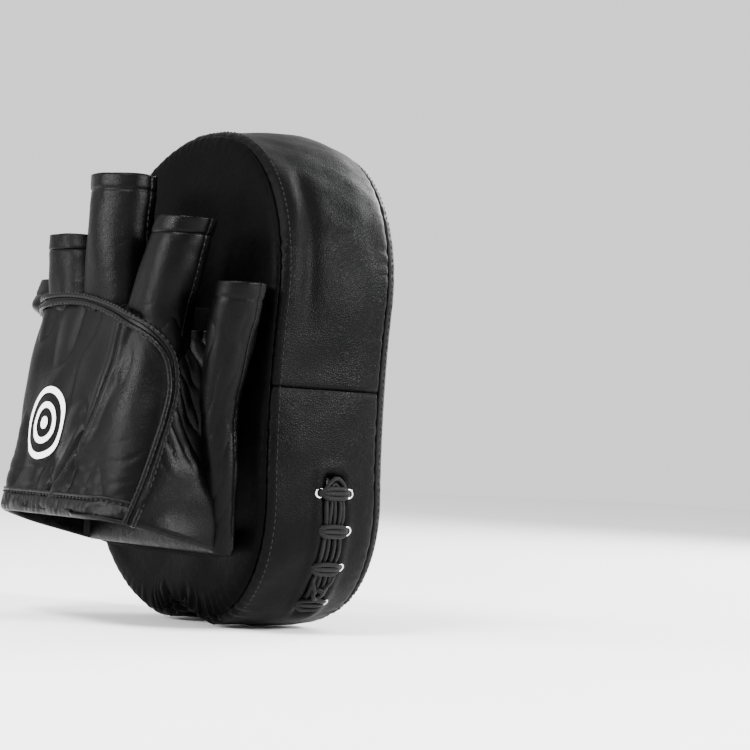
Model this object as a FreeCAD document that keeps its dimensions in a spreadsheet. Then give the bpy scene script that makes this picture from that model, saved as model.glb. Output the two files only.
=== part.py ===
"""Left-hand focus mitt: a curved, laced striking pad with a five-stall glove on its back.

Frame: +Z towards the finger tips, -Y out of the striking face, the thumb on the -X side.
The origin is the point on the back of the pad, at mid height and mid width, that the palm bears on.
Every length is in millimetres.
"""

import FreeCAD
import Part
import Sketcher

import math
import os

from FreeCAD import Vector

SPAN = 400.0
OUT_DIR = "parts"

DIMENSIONS = [
    # the pad
    ("pad_height", 250), ("pad_width", 178), ("pad_taper", 3), ("top_corner", 86), ("bottom_corner", 70),
    ("dimple_radius", 26), ("dimple_depth", 7), ("dimple_blend", 20),
    ("back_radius", 781), ("back_round", 5), ("face_round", 15), ("pad_depth", 77), ("back_seam", 3.4),
    ("face_seam", 64), ("leather", 2),
    ("face_foam_depth", 20), ("rear_foam_depth", 16), ("side_seam_z", -4),
    # the laced slit in the lower gusset, on the thumb side
    ("slit_width", 7), ("slit_top_z", -47), ("slit_bottom_z", -114), ("slit_y", -40),
    ("eyelet_pitch", 18), ("eyelet_count", 4), ("eyelet_top_z", -54), ("eyelet_row_gap", 17),
    ("eyelet_outer", 3.4), ("eyelet_barrel", 2.4), ("eyelet_hole", 1.9), ("eyelet_height", 0.8),
    ("lace_radius", 1.2), ("lace_rise", 2.4), ("lace_sink", 3.6),
    ("tongue_inset", 5.6), ("tongue_depth", 1.5), ("tongue_half", 13), ("tongue_end", 6),
    # the hand part of the glove
    ("hand_left", -62), ("hand_right", 84), ("hand_corner", 30),
    ("cuff_left", -65), ("cuff_right", 79), ("knuckle_z", 33),
    ("knuckle_height", 49), ("back_slope", 0.2), ("wall", 2.4), ("hem_back_z", -72), ("hem_palm_z", -88),
    ("shell_back_gap", 3), ("shell_palm_gap", 9.5), ("shell_step_y", 11), ("back_ledge", 6),
    ("yoke_foot_x", -50), ("yoke_head_x", -60), ("yoke_head_z", 12), ("yoke_far_x", 95), ("yoke_far_z", 24),
    ("yoke_corner", 30), ("binding_depth", 11), ("binding_extra", 1),
    ("palm_depth", 2), ("palm_left", -66), ("palm_right", 87), ("palm_bottom", -91), ("palm_top", 36),
    ("palm_corner", 18),
    # the finger stalls, which all start at the knuckle plane and tilt about one line across it
    ("root_y", 28.5), ("root_semi_y", 16.5), ("stall_wall", 2), ("hem_depth", 8), ("hem_extra", 0.8),
    ("index_root_x", -43), ("index_root_semi", 18), ("index_tip_x", -47), ("index_tip_y", 26),
    ("index_tip_z", 76), ("index_tip_semi", 16), ("index_tip_semi_y", 13),
    ("middle_root_x", -3), ("middle_root_semi", 18), ("middle_tip_x", 8), ("middle_tip_y", 31),
    ("middle_tip_z", 99), ("middle_tip_semi", 18.5), ("middle_tip_semi_y", 14),
    ("ring_root_x", 34), ("ring_root_semi", 17.6), ("ring_tip_x", 54), ("ring_tip_y", 30),
    ("ring_tip_z", 70), ("ring_tip_semi", 16.5), ("ring_tip_semi_y", 13),
    ("little_root_x", 69.5), ("little_root_semi", 15.5), ("little_tip_x", 75.6), ("little_tip_y", 22),
    ("little_tip_z", 47), ("little_tip_semi", 13.8), ("little_tip_semi_y", 13), ("little_root_semi_y", 15.4),
    # the thumb stall, cut open where it joins the hand, and the slot in the hand that it swings in
    ("thumb_root_x", -61), ("thumb_root_y", 15.4), ("thumb_root_z", -28), ("thumb_root_semi", 14),
    ("thumb_root_semi_y", 12.8), ("thumb_tip_x", -80), ("thumb_tip_y", 16), ("thumb_tip_z", 45),
    ("thumb_tip_semi", 13), ("thumb_tip_semi_y", 12.5), ("thumb_cut_x", -64),
    ("slot_top_y", 32), ("slot_foot_z", -38), ("web_height", 19), ("web_foot_z", -46), ("web_head_z", -3),
]
FINGERS = ("index", "middle", "ring", "little")

doc = FreeCAD.newDocument("focus_mitt")
sheet = doc.addObject("Spreadsheet::Sheet", "dims")
for row, (alias, value) in enumerate(DIMENSIONS, start=1):
    sheet.set(f"A{row}", alias)
    sheet.set(f"B{row}", str(value))
    sheet.setAlias(f"B{row}", alias)
doc.recompute()

SUBPARTS = []


def size(alias):
    """The sheet's value of a named dimension."""
    return float(sheet.get(alias))


def bind(obj, **expressions):
    """Ties properties of an object to the sheet. A double underscore in a key stands for a dot."""
    for key, expression in expressions.items():
        obj.setExpression(key.replace("__", "."), expression)
    return obj


def add(kind, name, **properties):
    """Adds an object to the document and sets plain properties on it."""
    obj = doc.addObject(kind, name)
    for key, value in properties.items():
        setattr(obj, key, value)
    return obj


def keep(obj, label):
    """Marks an object as a sub-part of the mitt, under the label that names its file."""
    obj.Label = label
    SUBPARTS.append(obj)
    return obj


def cut(name, base, tool):
    """base without tool."""
    return add("Part::Cut", name, Base=base, Tool=tool)


def common(name, base, tool):
    """What base and tool share."""
    return add("Part::Common", name, Base=base, Tool=tool)


def box(name, corner, lengths):
    """A box from expressions for its lowest corner and its three lengths."""
    obj = add("Part::Box", name)
    for axis, expression in zip("xyz", corner):
        obj.setExpression(f"Placement.Base.{axis}", str(expression))
    for key, expression in zip(("Length", "Width", "Height"), lengths):
        obj.setExpression(key, str(expression))
    return obj


def ring_cylinder(name, radius):
    """A cylinder along X about the pad's centre of curvature, with the radius given as an expression."""
    obj = add("Part::Cylinder", name, Height=SPAN)
    obj.Placement.Rotation = FreeCAD.Rotation(Vector(0, 1, 0), 90)
    obj.Placement.Base = Vector(-SPAN / 2, -size("back_radius"), 0)
    return bind(obj, Radius=radius, Placement__Base__y="-dims.back_radius")


def plane_of(body, role):
    """One of a body's own origin planes."""
    return next(f for f in body.Origin.OriginFeatures if f.Role == role)


def polygon_body(name, role, points, depth):
    """A body with one sketch, a closed polygon of paired expressions, padded evenly both ways."""
    body = add("PartDesign::Body", name)
    sketch = body.newObject("Sketcher::SketchObject", f"{name}_sketch")
    sketch.AttachmentSupport = [(plane_of(body, role), "")]
    sketch.MapMode = "FlatFace"
    corners = [(evaluate(a), evaluate(b)) for a, b in points]
    for i, (a, b) in enumerate(corners):
        c, d = corners[(i + 1) % len(corners)]
        sketch.addGeometry(Part.LineSegment(Vector(a, b, 0), Vector(c, d, 0)), False)
    bind_corners(sketch, points, corners)
    pad = body.newObject("PartDesign::Pad", f"{name}_pad")
    pad.Profile = sketch
    pad.Midplane = True
    pad.setExpression("Length", depth)
    doc.recompute()
    return body


def evaluate(expression):
    """The number that a sheet expression stands for."""
    return float(sheet.evalExpression(expression.replace("dims.", "")))


def bind_corners(sketch, points, corners):
    """Joins a sketch's lines end to end and ties each corner to its pair of expressions."""
    count = len(points)
    for i in range(count):
        sketch.addConstraint(Sketcher.Constraint("Coincident", i, 2, (i + 1) % count, 1))
    for i, (pair, corner) in enumerate(zip(points, corners)):
        for kind, expression, value in zip(("DistanceX", "DistanceY"), pair, corner):
            index = sketch.addConstraint(Sketcher.Constraint(kind, -1, 1, i, 1, value))
            sketch.setExpression(f"Constraints[{index}]", expression)


def round_edges(body, name, radius, wanted):
    """Fillets the body's edges that the test accepts, with the radius given as an expression."""
    tip = body.Tip
    edges = [f"Edge{i}" for i, e in enumerate(tip.Shape.Edges, start=1) if wanted(e)]
    fillet = body.newObject("PartDesign::Fillet", name)
    fillet.Base = (tip, edges)
    fillet.setExpression("Radius", radius)
    doc.recompute()
    return fillet


def along(edge, axis):
    """Whether an edge is straight and runs along a coordinate axis."""
    ends = [v.Point for v in edge.Vertexes]
    if len(ends) != 2:
        return False
    run = ends[1] - ends[0]
    return run.Length > 1e-6 and abs(abs(run[axis]) - run.Length) < 1e-4


def outline_body(name, inset):
    """The pad's outline as a prism along Y, set in all round by an expression."""
    half_top, half_foot = f"dims.pad_width / 2 - {inset}", f"dims.pad_width / 2 - dims.pad_taper - {inset}"
    top, foot = f"dims.pad_height / 2 - {inset}", f"-dims.pad_height / 2 + {inset}"
    corners = [(f"-({half_foot})", foot), (half_foot, foot), (half_top, top), (f"-({half_top})", top)]
    body = polygon_body(name, "XZ_Plane", corners, str(SPAN))
    round_edges(body, f"{name}_top", f"dims.top_corner - {inset}",
                lambda e: along(e, 1) and e.CenterOfMass.z > 0)
    round_edges(body, f"{name}_foot", f"dims.bottom_corner - {inset}",
                lambda e: along(e, 1) and e.CenterOfMass.z < 0)
    return body


def dimple(name, inset):
    """The round tool that presses the shallow dimple into the foot of the pad."""
    tool = add("Part::Cylinder", name, Height=SPAN)
    tool.Placement.Rotation = FreeCAD.Rotation(Vector(1, 0, 0), 90)
    tool.Placement.Base = Vector(0, SPAN / 2, 0)
    return bind(
        tool,
        Radius=f"dims.dimple_radius + {inset}",
        Placement__Base__z="-dims.pad_height / 2 - dims.dimple_radius + dims.dimple_depth",
    )


def rounded_form(name, inset, back_round, face_round):
    """The pad's whole form between its two curved faces, set in by an expression and rounded on both."""
    prism = cut(f"{name}_prism", outline_body(f"{name}_outline", inset), dimple(f"{name}_dimple", inset))
    back = ring_cylinder(f"{name}_back", f"dims.back_radius - {inset}")
    face = ring_cylinder(f"{name}_face", f"dims.back_radius - dims.pad_depth + {inset}")
    slab = common(f"{name}_slab", prism, cut(f"{name}_band", back, face))
    doc.recompute()
    blend = add("Part::Fillet", f"{name}_blend", Base=slab)
    blend.Edges = [
        (i, size("dimple_blend") - inset_value(inset), size("dimple_blend") - inset_value(inset))
        for i, e in enumerate(slab.Shape.Edges, start=1)
        if is_dimple_edge(e)
    ]
    doc.recompute()
    form = add("Part::Fillet", f"{name}_form", Base=blend)
    form.Edges = [
        (i, radius, radius)
        for i, e in enumerate(blend.Shape.Edges, start=1)
        for radius in [rim_radius(e, back.Radius.Value, face.Radius.Value, back_round, face_round)]
        if radius
    ]
    doc.recompute()
    return form


def inset_value(inset):
    """The number behind an inset, which is a plain number or an expression."""
    return evaluate(inset)


def is_dimple_edge(edge):
    """Whether an edge runs through the pad's depth at the dimple's two shoulders."""
    centre = edge.CenterOfMass
    low = centre.z < -size("pad_height") / 2 + size("dimple_depth")
    near = abs(centre.x) < size("dimple_radius")
    return low and near and along(edge, 1)


def rim_radius(edge, back, face, back_round, face_round):
    """The fillet that an edge of the slab takes: one on the back rim, one on the face rim, else none."""
    span = edge.LastParameter - edge.FirstParameter
    points = [edge.valueAt(edge.FirstParameter + span * t) for t in (0.1, 0.5, 0.9)]
    radii = [math.hypot(p.y + size("back_radius"), p.z) for p in points]
    if all(abs(r - back) < 0.01 for r in radii):
        return back_round
    if all(abs(r - face) < 0.01 for r in radii):
        return face_round
    return 0


def above_line(name, height):
    """Everything above a level line, whose height is given as an expression."""
    corners = [("-150", height), ("150", height), ("150", "200"), ("-150", "200")]
    return polygon_body(name, "YZ_Plane", corners, str(SPAN))


def build_pad():
    """The leather cover and the foam inside it."""
    leather = size("leather")
    outer = rounded_form("outer", "0", size("back_round"), size("face_round"))
    inner = rounded_form("inner", "dims.leather", size("back_round") - leather, size("face_round") - leather)
    skin = cut("skin", outer, inner)
    to_back_seam = ring_cylinder("to_back_seam", "dims.back_radius - dims.back_seam")
    to_face_seam = ring_cylinder("to_face_seam", "dims.back_radius - dims.face_seam")
    keep(common("strike", skin, to_face_seam), "strike_panel")
    keep(cut("back", skin, to_back_seam), "back_panel")
    band = common("gusset_band", skin, cut("gusset_range", to_back_seam, to_face_seam))
    above = above_line("above_seam", "dims.side_seam_z")
    keep(common("gusset_top", band, above), "gusset_upper")
    gusset_foot = cut("gusset_foot", band, above)
    to_face_foam = ring_cylinder(
        "to_face_foam", "dims.back_radius - dims.pad_depth + dims.leather + dims.face_foam_depth"
    )
    to_core = ring_cylinder("to_core", "dims.back_radius - dims.leather - dims.rear_foam_depth")
    keep(common("face_foam_block", inner, to_face_foam), "face_foam")
    keep(cut("rear_foam_block", inner, to_core), "rear_foam")
    core = common("core_block", inner, cut("core_range", to_core, to_face_foam))
    return gusset_foot, core


def side_point(y, z):
    """The point of the thumb-side gusset at one depth and height, and the way out of the leather there."""
    height, radius, taper = size("pad_height"), size("bottom_corner"), size("pad_taper")
    half_foot = size("pad_width") / 2 - taper
    side = math.hypot(height, taper)
    centre_x, centre_z = -half_foot + radius * (side - taper) / height, -height / 2 + radius
    if z > centre_z - radius * taper / side:
        point = Vector(-half_foot - taper * (z + height / 2) / height, y, z)
        return point, Vector(-height / side, 0, -taper / side)
    point = Vector(centre_x - math.sqrt(radius**2 - (z - centre_z) ** 2), y, z)
    return point, Vector((point.x - centre_x) / radius, 0, (z - centre_z) / radius)


def rod(name, place, offset, radius, height):
    """A cylinder standing on a placement, started at an offset along its axis."""
    obj = add("Part::Cylinder", name)
    obj.Placement = place.multiply(FreeCAD.Placement(Vector(0, 0, offset), FreeCAD.Rotation()))
    return bind(obj, Radius=radius, Height=height)


def eyelet(label, y, z):
    """A flanged ring set through the leather. Gives back the drill for its hole in the leather."""
    point, outward = side_point(y, z)
    place = FreeCAD.Placement(point, FreeCAD.Rotation(Vector(0, 0, 1), outward))
    leather = size("leather")
    flange = rod(f"{label}_flange", place, 0, "dims.eyelet_outer", "dims.eyelet_height")
    barrel = rod(f"{label}_barrel", place, -leather, "dims.eyelet_barrel", "dims.leather")
    length = "dims.leather + dims.eyelet_height + 2"
    bore = rod(f"{label}_bore", place, -leather - 1, "dims.eyelet_hole", length)
    metal = add("Part::Fuse", f"{label}_metal", Base=flange, Tool=barrel)
    keep(cut(f"{label}_ring", metal, bore), label)
    return rod(f"{label}_drill", place, -leather - 2, "dims.eyelet_barrel", "dims.leather + 4")


def segment(name, start, end):
    """A straight stretch of lace between two points."""
    place = FreeCAD.Placement(start, FreeCAD.Rotation(Vector(0, 0, 1), end - start))
    obj = add("Part::Cylinder", name, Placement=place, Height=(end - start).Length)
    return bind(obj, Radius="dims.lace_radius")


def bead(name, centre):
    """The ball that turns the lace from one stretch to the next."""
    obj = add("Part::Sphere", name)
    obj.Placement.Base = centre
    return bind(obj, Radius="dims.lace_radius")


def lace_route(rows, heights):
    """The corners that the lace passes, out of one eyelet, over the slit, into the next and down inside."""
    route = []
    for turn, z in enumerate(heights):
        there, back = rows if turn % 2 == 0 else rows[::-1]
        for y, levels in ((there, ("lace_sink", "lace_rise")), (back, ("lace_rise", "lace_sink"))):
            point, outward = side_point(y, z)
            for level in levels:
                sign = -1 if level == "lace_sink" else 1
                route.append(point + outward * (sign * size(level)))
    return route


def build_lacing(gusset_foot, core):
    """The slit in the lower gusset with its eyelets, the lace that closes it and the tongue behind it."""
    half, gap = size("tongue_half"), size("eyelet_row_gap") / 2
    rows = (size("slit_y") - gap, size("slit_y") + gap)
    heights = [size("eyelet_top_z") - i * size("eyelet_pitch") for i in range(int(size("eyelet_count")))]
    drills = [
        eyelet(f"eyelet_{side}_{i}", y, z)
        for side, y in zip(("front", "rear"), rows)
        for i, z in enumerate(heights, start=1)
    ]
    slit = box("slit", (-150, "dims.slit_y - dims.slit_width / 2", "dims.slit_bottom_z"),
               (130, "dims.slit_width", "dims.slit_top_z - dims.slit_bottom_z"))
    openings = add("Part::MultiFuse", "gusset_openings", Shapes=[slit] + drills)
    keep(cut("gusset_laced", gusset_foot, openings), "gusset_lower")
    low, high = "dims.slit_bottom_z - dims.tongue_end", "dims.slit_top_z + dims.tongue_end"
    pocket = polygon_body("pocket", "XZ_Plane", [("-150", low), ("-20", low), ("-20", high), ("-150", high)],
                          "2 * dims.tongue_half")
    bind(pocket, Placement__Base__y="dims.slit_y")
    outside = outline_body("tongue_outside", "dims.tongue_inset")
    inside = outline_body("tongue_inside", "(dims.tongue_inset + dims.tongue_depth)")
    recess = cut("core_recess", pocket, inside)
    keep(common("tongue", recess, outside), "lace_tongue")
    keep(cut("core", core, recess), "core_foam")
    corners = lace_route(rows, heights)
    pairs = enumerate(zip(corners, corners[1:]), start=1)
    stretches = [segment(f"lace_run_{i}", a, b) for i, (a, b) in pairs]
    turns = [bead(f"lace_turn_{i}", corner) for i, corner in enumerate(corners, start=1)]
    keep(add("Part::MultiFuse", "lacing", Shapes=stretches + turns), "lace")


def hand_outline(name, grow):
    """The hand part seen from behind, as a prism along Y, grown by an expression."""
    corners = [
        (f"dims.cuff_left - ({grow})", "-150"),
        (f"dims.cuff_right + ({grow})", "-150"),
        (f"dims.hand_right + ({grow})", "60"),
        (f"dims.hand_left - ({grow})", "60"),
    ]
    return polygon_body(name, "XZ_Plane", corners, str(SPAN))


def back_line(z, grow):
    """The depth of the back of the hand at one height, grown by an expression."""
    return f"dims.knuckle_height + dims.back_slope * (dims.knuckle_z - ({z})) + ({grow})"


def hand_side(name, grow, ends):
    """The hand part seen from the side, as a prism along X, between a list of corners at its two ends."""
    head, foot = ends
    corners = [("-60", head[0][1])] + head + [(back_line(head[-1][1], grow), head[-1][1])]
    corners += [(back_line(foot, grow), foot), ("-60", foot)]
    return polygon_body(name, "YZ_Plane", corners, str(SPAN))


def hand_form(name, grow, head, foot):
    """The hand part as a solid with a round back, grown by an expression."""
    side = hand_side(f"{name}_side", grow, (head, foot))
    form = common(f"{name}_block", hand_outline(f"{name}_outline", grow), side)
    doc.recompute()
    rounded = add("Part::Fillet", name, Base=form)
    radius = size("hand_corner") + evaluate(grow)
    rounded.Edges = [
        (i, radius, radius)
        for i, e in enumerate(form.Shape.Edges, start=1)
        if e.Length > 60 and e.CenterOfMass.y > 40 and abs(e.CenterOfMass.x) > 50
    ]
    doc.recompute()
    return rounded


def hem_cutter(name, rise):
    """Everything below the slanting edge of the cuff, raised by an expression."""
    at_back, at_palm = f"dims.hem_back_z + ({rise})", f"dims.hem_palm_z + ({rise})"
    slope = "(dims.hem_back_z - dims.hem_palm_z) / 70"
    corners = [
        ("-70", f"{at_palm} - 70 * {slope}"),
        ("-70", "-250"),
        ("140", "-250"),
        ("140", f"{at_back} + 70 * {slope}"),
    ]
    return polygon_body(name, "YZ_Plane", corners, str(SPAN + 20))


def build_hand():
    """The hand part of the glove: its palm, back, knuckle panel, web patch and cuff binding."""
    head = [
        ("dims.shell_step_y", "dims.knuckle_z - dims.shell_palm_gap"),
        ("dims.knuckle_height - dims.back_ledge", "dims.knuckle_z - dims.shell_back_gap"),
    ]
    hollow_head = [
        ("dims.shell_step_y", "dims.knuckle_z - dims.shell_palm_gap - dims.wall"),
        ("dims.shell_step_y", "60"),
    ]
    outer = hand_form("hand_outer", "0", head, "-130")
    hollow = hand_form("hand_hollow", "-dims.wall", hollow_head, "-150")
    bound = hand_form("hand_bound", "dims.binding_extra", head, "-130")
    above_palm = ring_cylinder("above_palm", "dims.back_radius + dims.palm_depth")
    hem, band = hem_cutter("hem", "0"), hem_cutter("binding_line", "dims.binding_depth")
    slot = box("thumb_slot", (-150, -50, "dims.slot_foot_z"), (100, "50 + dims.slot_top_y", 300))
    waste = add("Part::MultiFuse", "hand_waste", Shapes=[hollow, above_palm, band, slot])
    shell = cut("hand_shell", outer, waste)
    ring_waste = add("Part::MultiFuse", "binding_waste", Shapes=[hollow, above_palm, hem])
    keep(cut("binding", common("binding_block", bound, band), ring_waste), "cuff_binding")
    yoke = yoke_prism()
    web = web_prism()
    keep(common("hand_back", shell, yoke), "hand_back_panel")
    sides = cut("hand_rim", shell, yoke)
    keep(common("web", sides, web), "web_gusset")
    sides = cut("hand_rim_open", sides, web)
    above_web = above_line("above_web", "(dims.web_foot_z + dims.web_head_z) / 2")
    keep(common("knuckle", sides, above_web), "knuckle_panel")
    keep(cut("thumb_base", sides, above_web), "thumb_base_panel")
    build_palm(above_palm)


def yoke_prism():
    """The arched outline of the panel on the back of the hand, as a prism along Y."""
    corners = [
        ("dims.yoke_foot_x", "-150"),
        ("dims.yoke_far_x", "-150"),
        ("dims.yoke_far_x", "dims.yoke_far_z"),
        ("dims.yoke_head_x", "dims.yoke_head_z"),
    ]
    body = polygon_body("yoke", "XZ_Plane", corners, str(SPAN))
    round_edges(body, "yoke_round", "dims.yoke_corner",
                lambda e: along(e, 1) and e.CenterOfMass.x < 0 and e.CenterOfMass.z > 0)
    return body


def web_prism():
    """The triangle of leather between the thumb and the index finger, as a prism along X."""
    corners = [
        ("dims.slot_top_y - 5", "dims.web_foot_z"),
        ("dims.slot_top_y + dims.web_height", "(dims.web_foot_z + dims.web_head_z) / 2"),
        ("dims.slot_top_y - 5", "dims.web_head_z"),
    ]
    return polygon_body("web_outline", "YZ_Plane", corners, str(SPAN))


def build_palm(above_palm):
    """The layer that the glove is sewn down by, lying on the back of the pad."""
    corners = [("dims.palm_left", "dims.palm_bottom"), ("dims.palm_right", "dims.palm_bottom"),
               ("dims.palm_right", "dims.palm_top"), ("dims.palm_left", "dims.palm_top")]
    body = polygon_body("palm_outline", "XZ_Plane", corners, str(SPAN))
    round_edges(body, "palm_round", "dims.palm_corner", lambda e: along(e, 1))
    layer = cut("palm_layer", above_palm, ring_cylinder("on_pad", "dims.back_radius"))
    behind = box("behind", (-200, -60, -200), (400, 120, 400))
    keep(common("palm", body, common("palm_sheet", layer, behind)), "palm_panel")


def ellipse(name, centre, semis, grow):
    """A level ellipse from expressions, its long axis along X, grown by an expression."""
    obj = add("Part::Ellipse", name)
    for axis, expression in zip("xyz", centre):
        obj.setExpression(f"Placement.Base.{axis}", expression)
    return bind(obj, MajorRadius=f"{semis[0]} + ({grow})", MinorRadius=f"{semis[1]} + ({grow})")


def stall_form(name, finger, root, grow):
    """The tapering form of one stall between its root and tip ellipses, grown by an expression."""
    tip_centre = [f"dims.{finger}_tip_{axis}" for axis in "xyz"]
    tip = ellipse(f"{name}_tip", tip_centre, (f"dims.{finger}_tip_semi", f"dims.{finger}_tip_semi_y"), grow)
    foot = ellipse(f"{name}_root", *root, grow)
    return add("Part::Loft", name, Sections=[foot, tip], Solid=True, Ruled=True)


def build_stall(finger, root, trim=None):
    """One open-ended stall and the hem round its mouth."""
    outer = stall_form(f"{finger}_outer", finger, root, "0")
    thick = stall_form(f"{finger}_thick", finger, root, "dims.hem_extra")
    bore = stall_form(f"{finger}_bore", finger, root, "-dims.stall_wall")
    mouth = box(f"{finger}_mouth", (-200, -100, f"dims.{finger}_tip_z - dims.hem_depth"), (400, 200, 100))
    hem = cut(f"{finger}_hem_ring", common(f"{finger}_hem_block", thick, mouth), bore)
    keep(hem, f"{finger}_hem")
    removed = [bore, mouth] + ([trim] if trim else [])
    waste = add("Part::MultiFuse", f"{finger}_waste", Shapes=removed)
    keep(cut(f"{finger}_tube", outer, waste), f"{finger}_stall")


def build_fingers():
    """The four finger stalls and the thumb stall."""
    for finger in FINGERS:
        semi_y = "dims.little_root_semi_y" if finger == "little" else "dims.root_semi_y"
        centre = (f"dims.{finger}_root_x", "dims.root_y", "dims.knuckle_z")
        root = (centre, (f"dims.{finger}_root_semi", semi_y))
        build_stall(finger, root)
    root = (("dims.thumb_root_x", "dims.thumb_root_y", "dims.thumb_root_z"),
            ("dims.thumb_root_semi", "dims.thumb_root_semi_y"))
    build_stall("thumb", root, box("thumb_open", ("dims.thumb_cut_x", -100, -200), (200, 200, 400)))


def check():
    """Stops if any object failed to recompute or any sub-part is not one sound solid."""
    for obj in doc.Objects:
        if {"Invalid", "Error"} & set(obj.State):
            raise RuntimeError(f"{obj.Name} did not recompute: {obj.State}")
    for obj in SUBPARTS:
        shape = obj.Shape
        if shape.isNull() or not shape.isValid() or len(shape.Solids) != 1:
            raise RuntimeError(f"{obj.Label} is not one sound solid: {len(shape.Solids)} solids")


def export():
    """Writes one STEP file per sub-part."""
    os.makedirs(OUT_DIR, exist_ok=True)
    for obj in SUBPARTS:
        obj.Shape.exportStep(os.path.join(OUT_DIR, f"{obj.Label}.step"))
        extent = obj.Shape.optimalBoundingBox(False)
        print(f"{obj.Label:18s} {obj.Shape.Volume / 1000:9.1f} cm3  "
              f"x {extent.XMin:7.1f} {extent.XMax:7.1f}  y {extent.YMin:7.1f} {extent.YMax:7.1f}  "
              f"z {extent.ZMin:7.1f} {extent.ZMax:7.1f}")


gusset, core_block = build_pad()
build_lacing(gusset, core_block)
build_hand()
build_fingers()
doc.recompute()
check()
export()
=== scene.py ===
"""Left-hand focus mitt: the leather-covered pad, its lacing and the open-fingered glove on its back.

Lengths are in millimetres inside this file and become metres where a mesh is made. The axes are the
CAD model's: +Z towards the finger tips, -Y out of the striking face, the thumb on the -X side.
"""

import logging
import math
from dataclasses import dataclass, field
from enum import Enum
from typing import Callable

import bpy
import numpy as np
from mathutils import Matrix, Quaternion, Vector

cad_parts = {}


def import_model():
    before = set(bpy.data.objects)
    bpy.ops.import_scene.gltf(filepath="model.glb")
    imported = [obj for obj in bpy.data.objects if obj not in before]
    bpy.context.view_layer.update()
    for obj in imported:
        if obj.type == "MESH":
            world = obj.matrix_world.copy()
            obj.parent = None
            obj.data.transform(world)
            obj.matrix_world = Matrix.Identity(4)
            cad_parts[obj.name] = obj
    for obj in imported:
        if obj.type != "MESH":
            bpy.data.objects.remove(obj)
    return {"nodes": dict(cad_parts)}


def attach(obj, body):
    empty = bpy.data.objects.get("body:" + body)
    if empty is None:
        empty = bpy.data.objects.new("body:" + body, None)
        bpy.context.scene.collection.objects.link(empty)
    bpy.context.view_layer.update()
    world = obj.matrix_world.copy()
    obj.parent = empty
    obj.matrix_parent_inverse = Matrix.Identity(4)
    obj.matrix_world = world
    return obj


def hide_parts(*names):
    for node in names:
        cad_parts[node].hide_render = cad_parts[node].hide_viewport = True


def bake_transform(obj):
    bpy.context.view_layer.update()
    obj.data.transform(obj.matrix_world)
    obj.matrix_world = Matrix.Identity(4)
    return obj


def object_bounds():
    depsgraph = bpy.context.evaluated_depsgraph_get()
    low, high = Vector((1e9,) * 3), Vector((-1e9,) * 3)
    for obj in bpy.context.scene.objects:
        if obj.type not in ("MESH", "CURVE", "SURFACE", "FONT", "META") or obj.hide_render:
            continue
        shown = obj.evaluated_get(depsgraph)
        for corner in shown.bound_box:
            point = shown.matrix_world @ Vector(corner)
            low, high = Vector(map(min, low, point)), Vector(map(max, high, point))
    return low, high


Array = np.ndarray
LOG = logging.getLogger("focus_mitt")
MM = 0.001
SEED = 11
BOW = 781.0
CELLS = "DISTANCE_TO_EDGE"


class Body(Enum):
    """The CAD bodies that a piece can ride on."""

    PAD = "pad"
    INDEX = "index"
    MIDDLE = "middle"
    RING = "ring"
    LITTLE = "little"
    THUMB = "thumb"


class Slot(Enum):
    """Names of the mitt's material slots."""

    STRIKE = "strike_leather"
    BACK = "back_leather"
    GUSSET = "gusset_leather"
    GLOVE = "glove_leather"
    BINDING = "binding"
    FOAM = "foam"
    LINING = "lining"
    LACE = "lace"
    NICKEL = "nickel"


# ---------------------------------------------------------------------------------------------------
# Shared shape helpers
# ---------------------------------------------------------------------------------------------------


def smooth(t: Array) -> Array:
    """The S-curve 3t^2 - 2t^3, held at 0 and 1 outside that range."""
    t = np.clip(t, 0.0, 1.0)
    return t * t * (3 - 2 * t)


def unit(v: Array) -> Array:
    """Vectors along the last axis divided by their lengths."""
    return v / np.maximum(np.linalg.norm(v, axis=-1, keepdims=True), 1e-9)


def ripple(points: Array, length: float, seed: int, waves: int = 7) -> Array:
    """Smooth unevenness in space, about -1 to 1: the mean of plane waves in random directions.

    Args:
        points: Places, with x, y and z along the last axis.
        length: The typical distance between two rises.
        seed: Chooses the directions and phases.
        waves: How many plane waves are added up.

    Returns:
        One number for each place.
    """
    rng = np.random.default_rng(SEED + seed)
    ways = unit(rng.normal(size=(waves, 3))) * rng.uniform(0.7, 1.5, (waves, 1)) * 2 * np.pi / length
    phases = rng.uniform(0, 2 * np.pi, waves)
    return np.sin(points @ ways.T + phases).sum(axis=-1) / math.sqrt(waves)


def between(a: Array, b: Array, c: Array, d: Array, f: Array) -> Array:
    """The Catmull-Rom curve a share f of the way from b to c, with a before them and d after."""
    return 0.5 * (2 * b + (c - a) * f + (2 * a - 5 * b + 4 * c - d) * f**2 + (3 * b - a - 3 * c + d) * f**3)


def spline(knots: Array, count: int, closed: bool = False) -> Array:
    """Points at even steps along the Catmull-Rom curve through the knots.

    Args:
        knots: The points that the curve passes, one per row.
        count: How many points to give back.
        closed: Whether the curve runs on from its last knot to its first.

    Returns:
        The points, one per row.
    """
    knots = np.asarray(knots, float)
    if closed:
        padded = np.vstack([knots[-1], knots, knots[0], knots[1]])
    else:
        padded = np.vstack([2 * knots[0] - knots[1], knots, 2 * knots[-1] - knots[-2]])
    spans = len(padded) - 3
    t = np.linspace(0, spans, spans * 24, endpoint=False)
    i, f = t.astype(int), (t % 1)[:, None]
    fine = between(padded[i], padded[i + 1], padded[i + 2], padded[i + 3], f)
    fine = np.vstack([fine, padded[spans + 1]])
    return evened(fine, count, closed)


def run(path: Array) -> Array:
    """The length of a path up to each of its points."""
    return np.r_[0, np.cumsum(np.linalg.norm(np.diff(path, axis=0), axis=1))]


def sampled(values: Array, along: Array, want: Array) -> Array:
    """Rows of values read off at the lengths wanted, between the lengths that they stand at."""
    return np.stack([np.interp(want, along, values[:, k]) for k in range(values.shape[1])], axis=-1)


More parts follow.
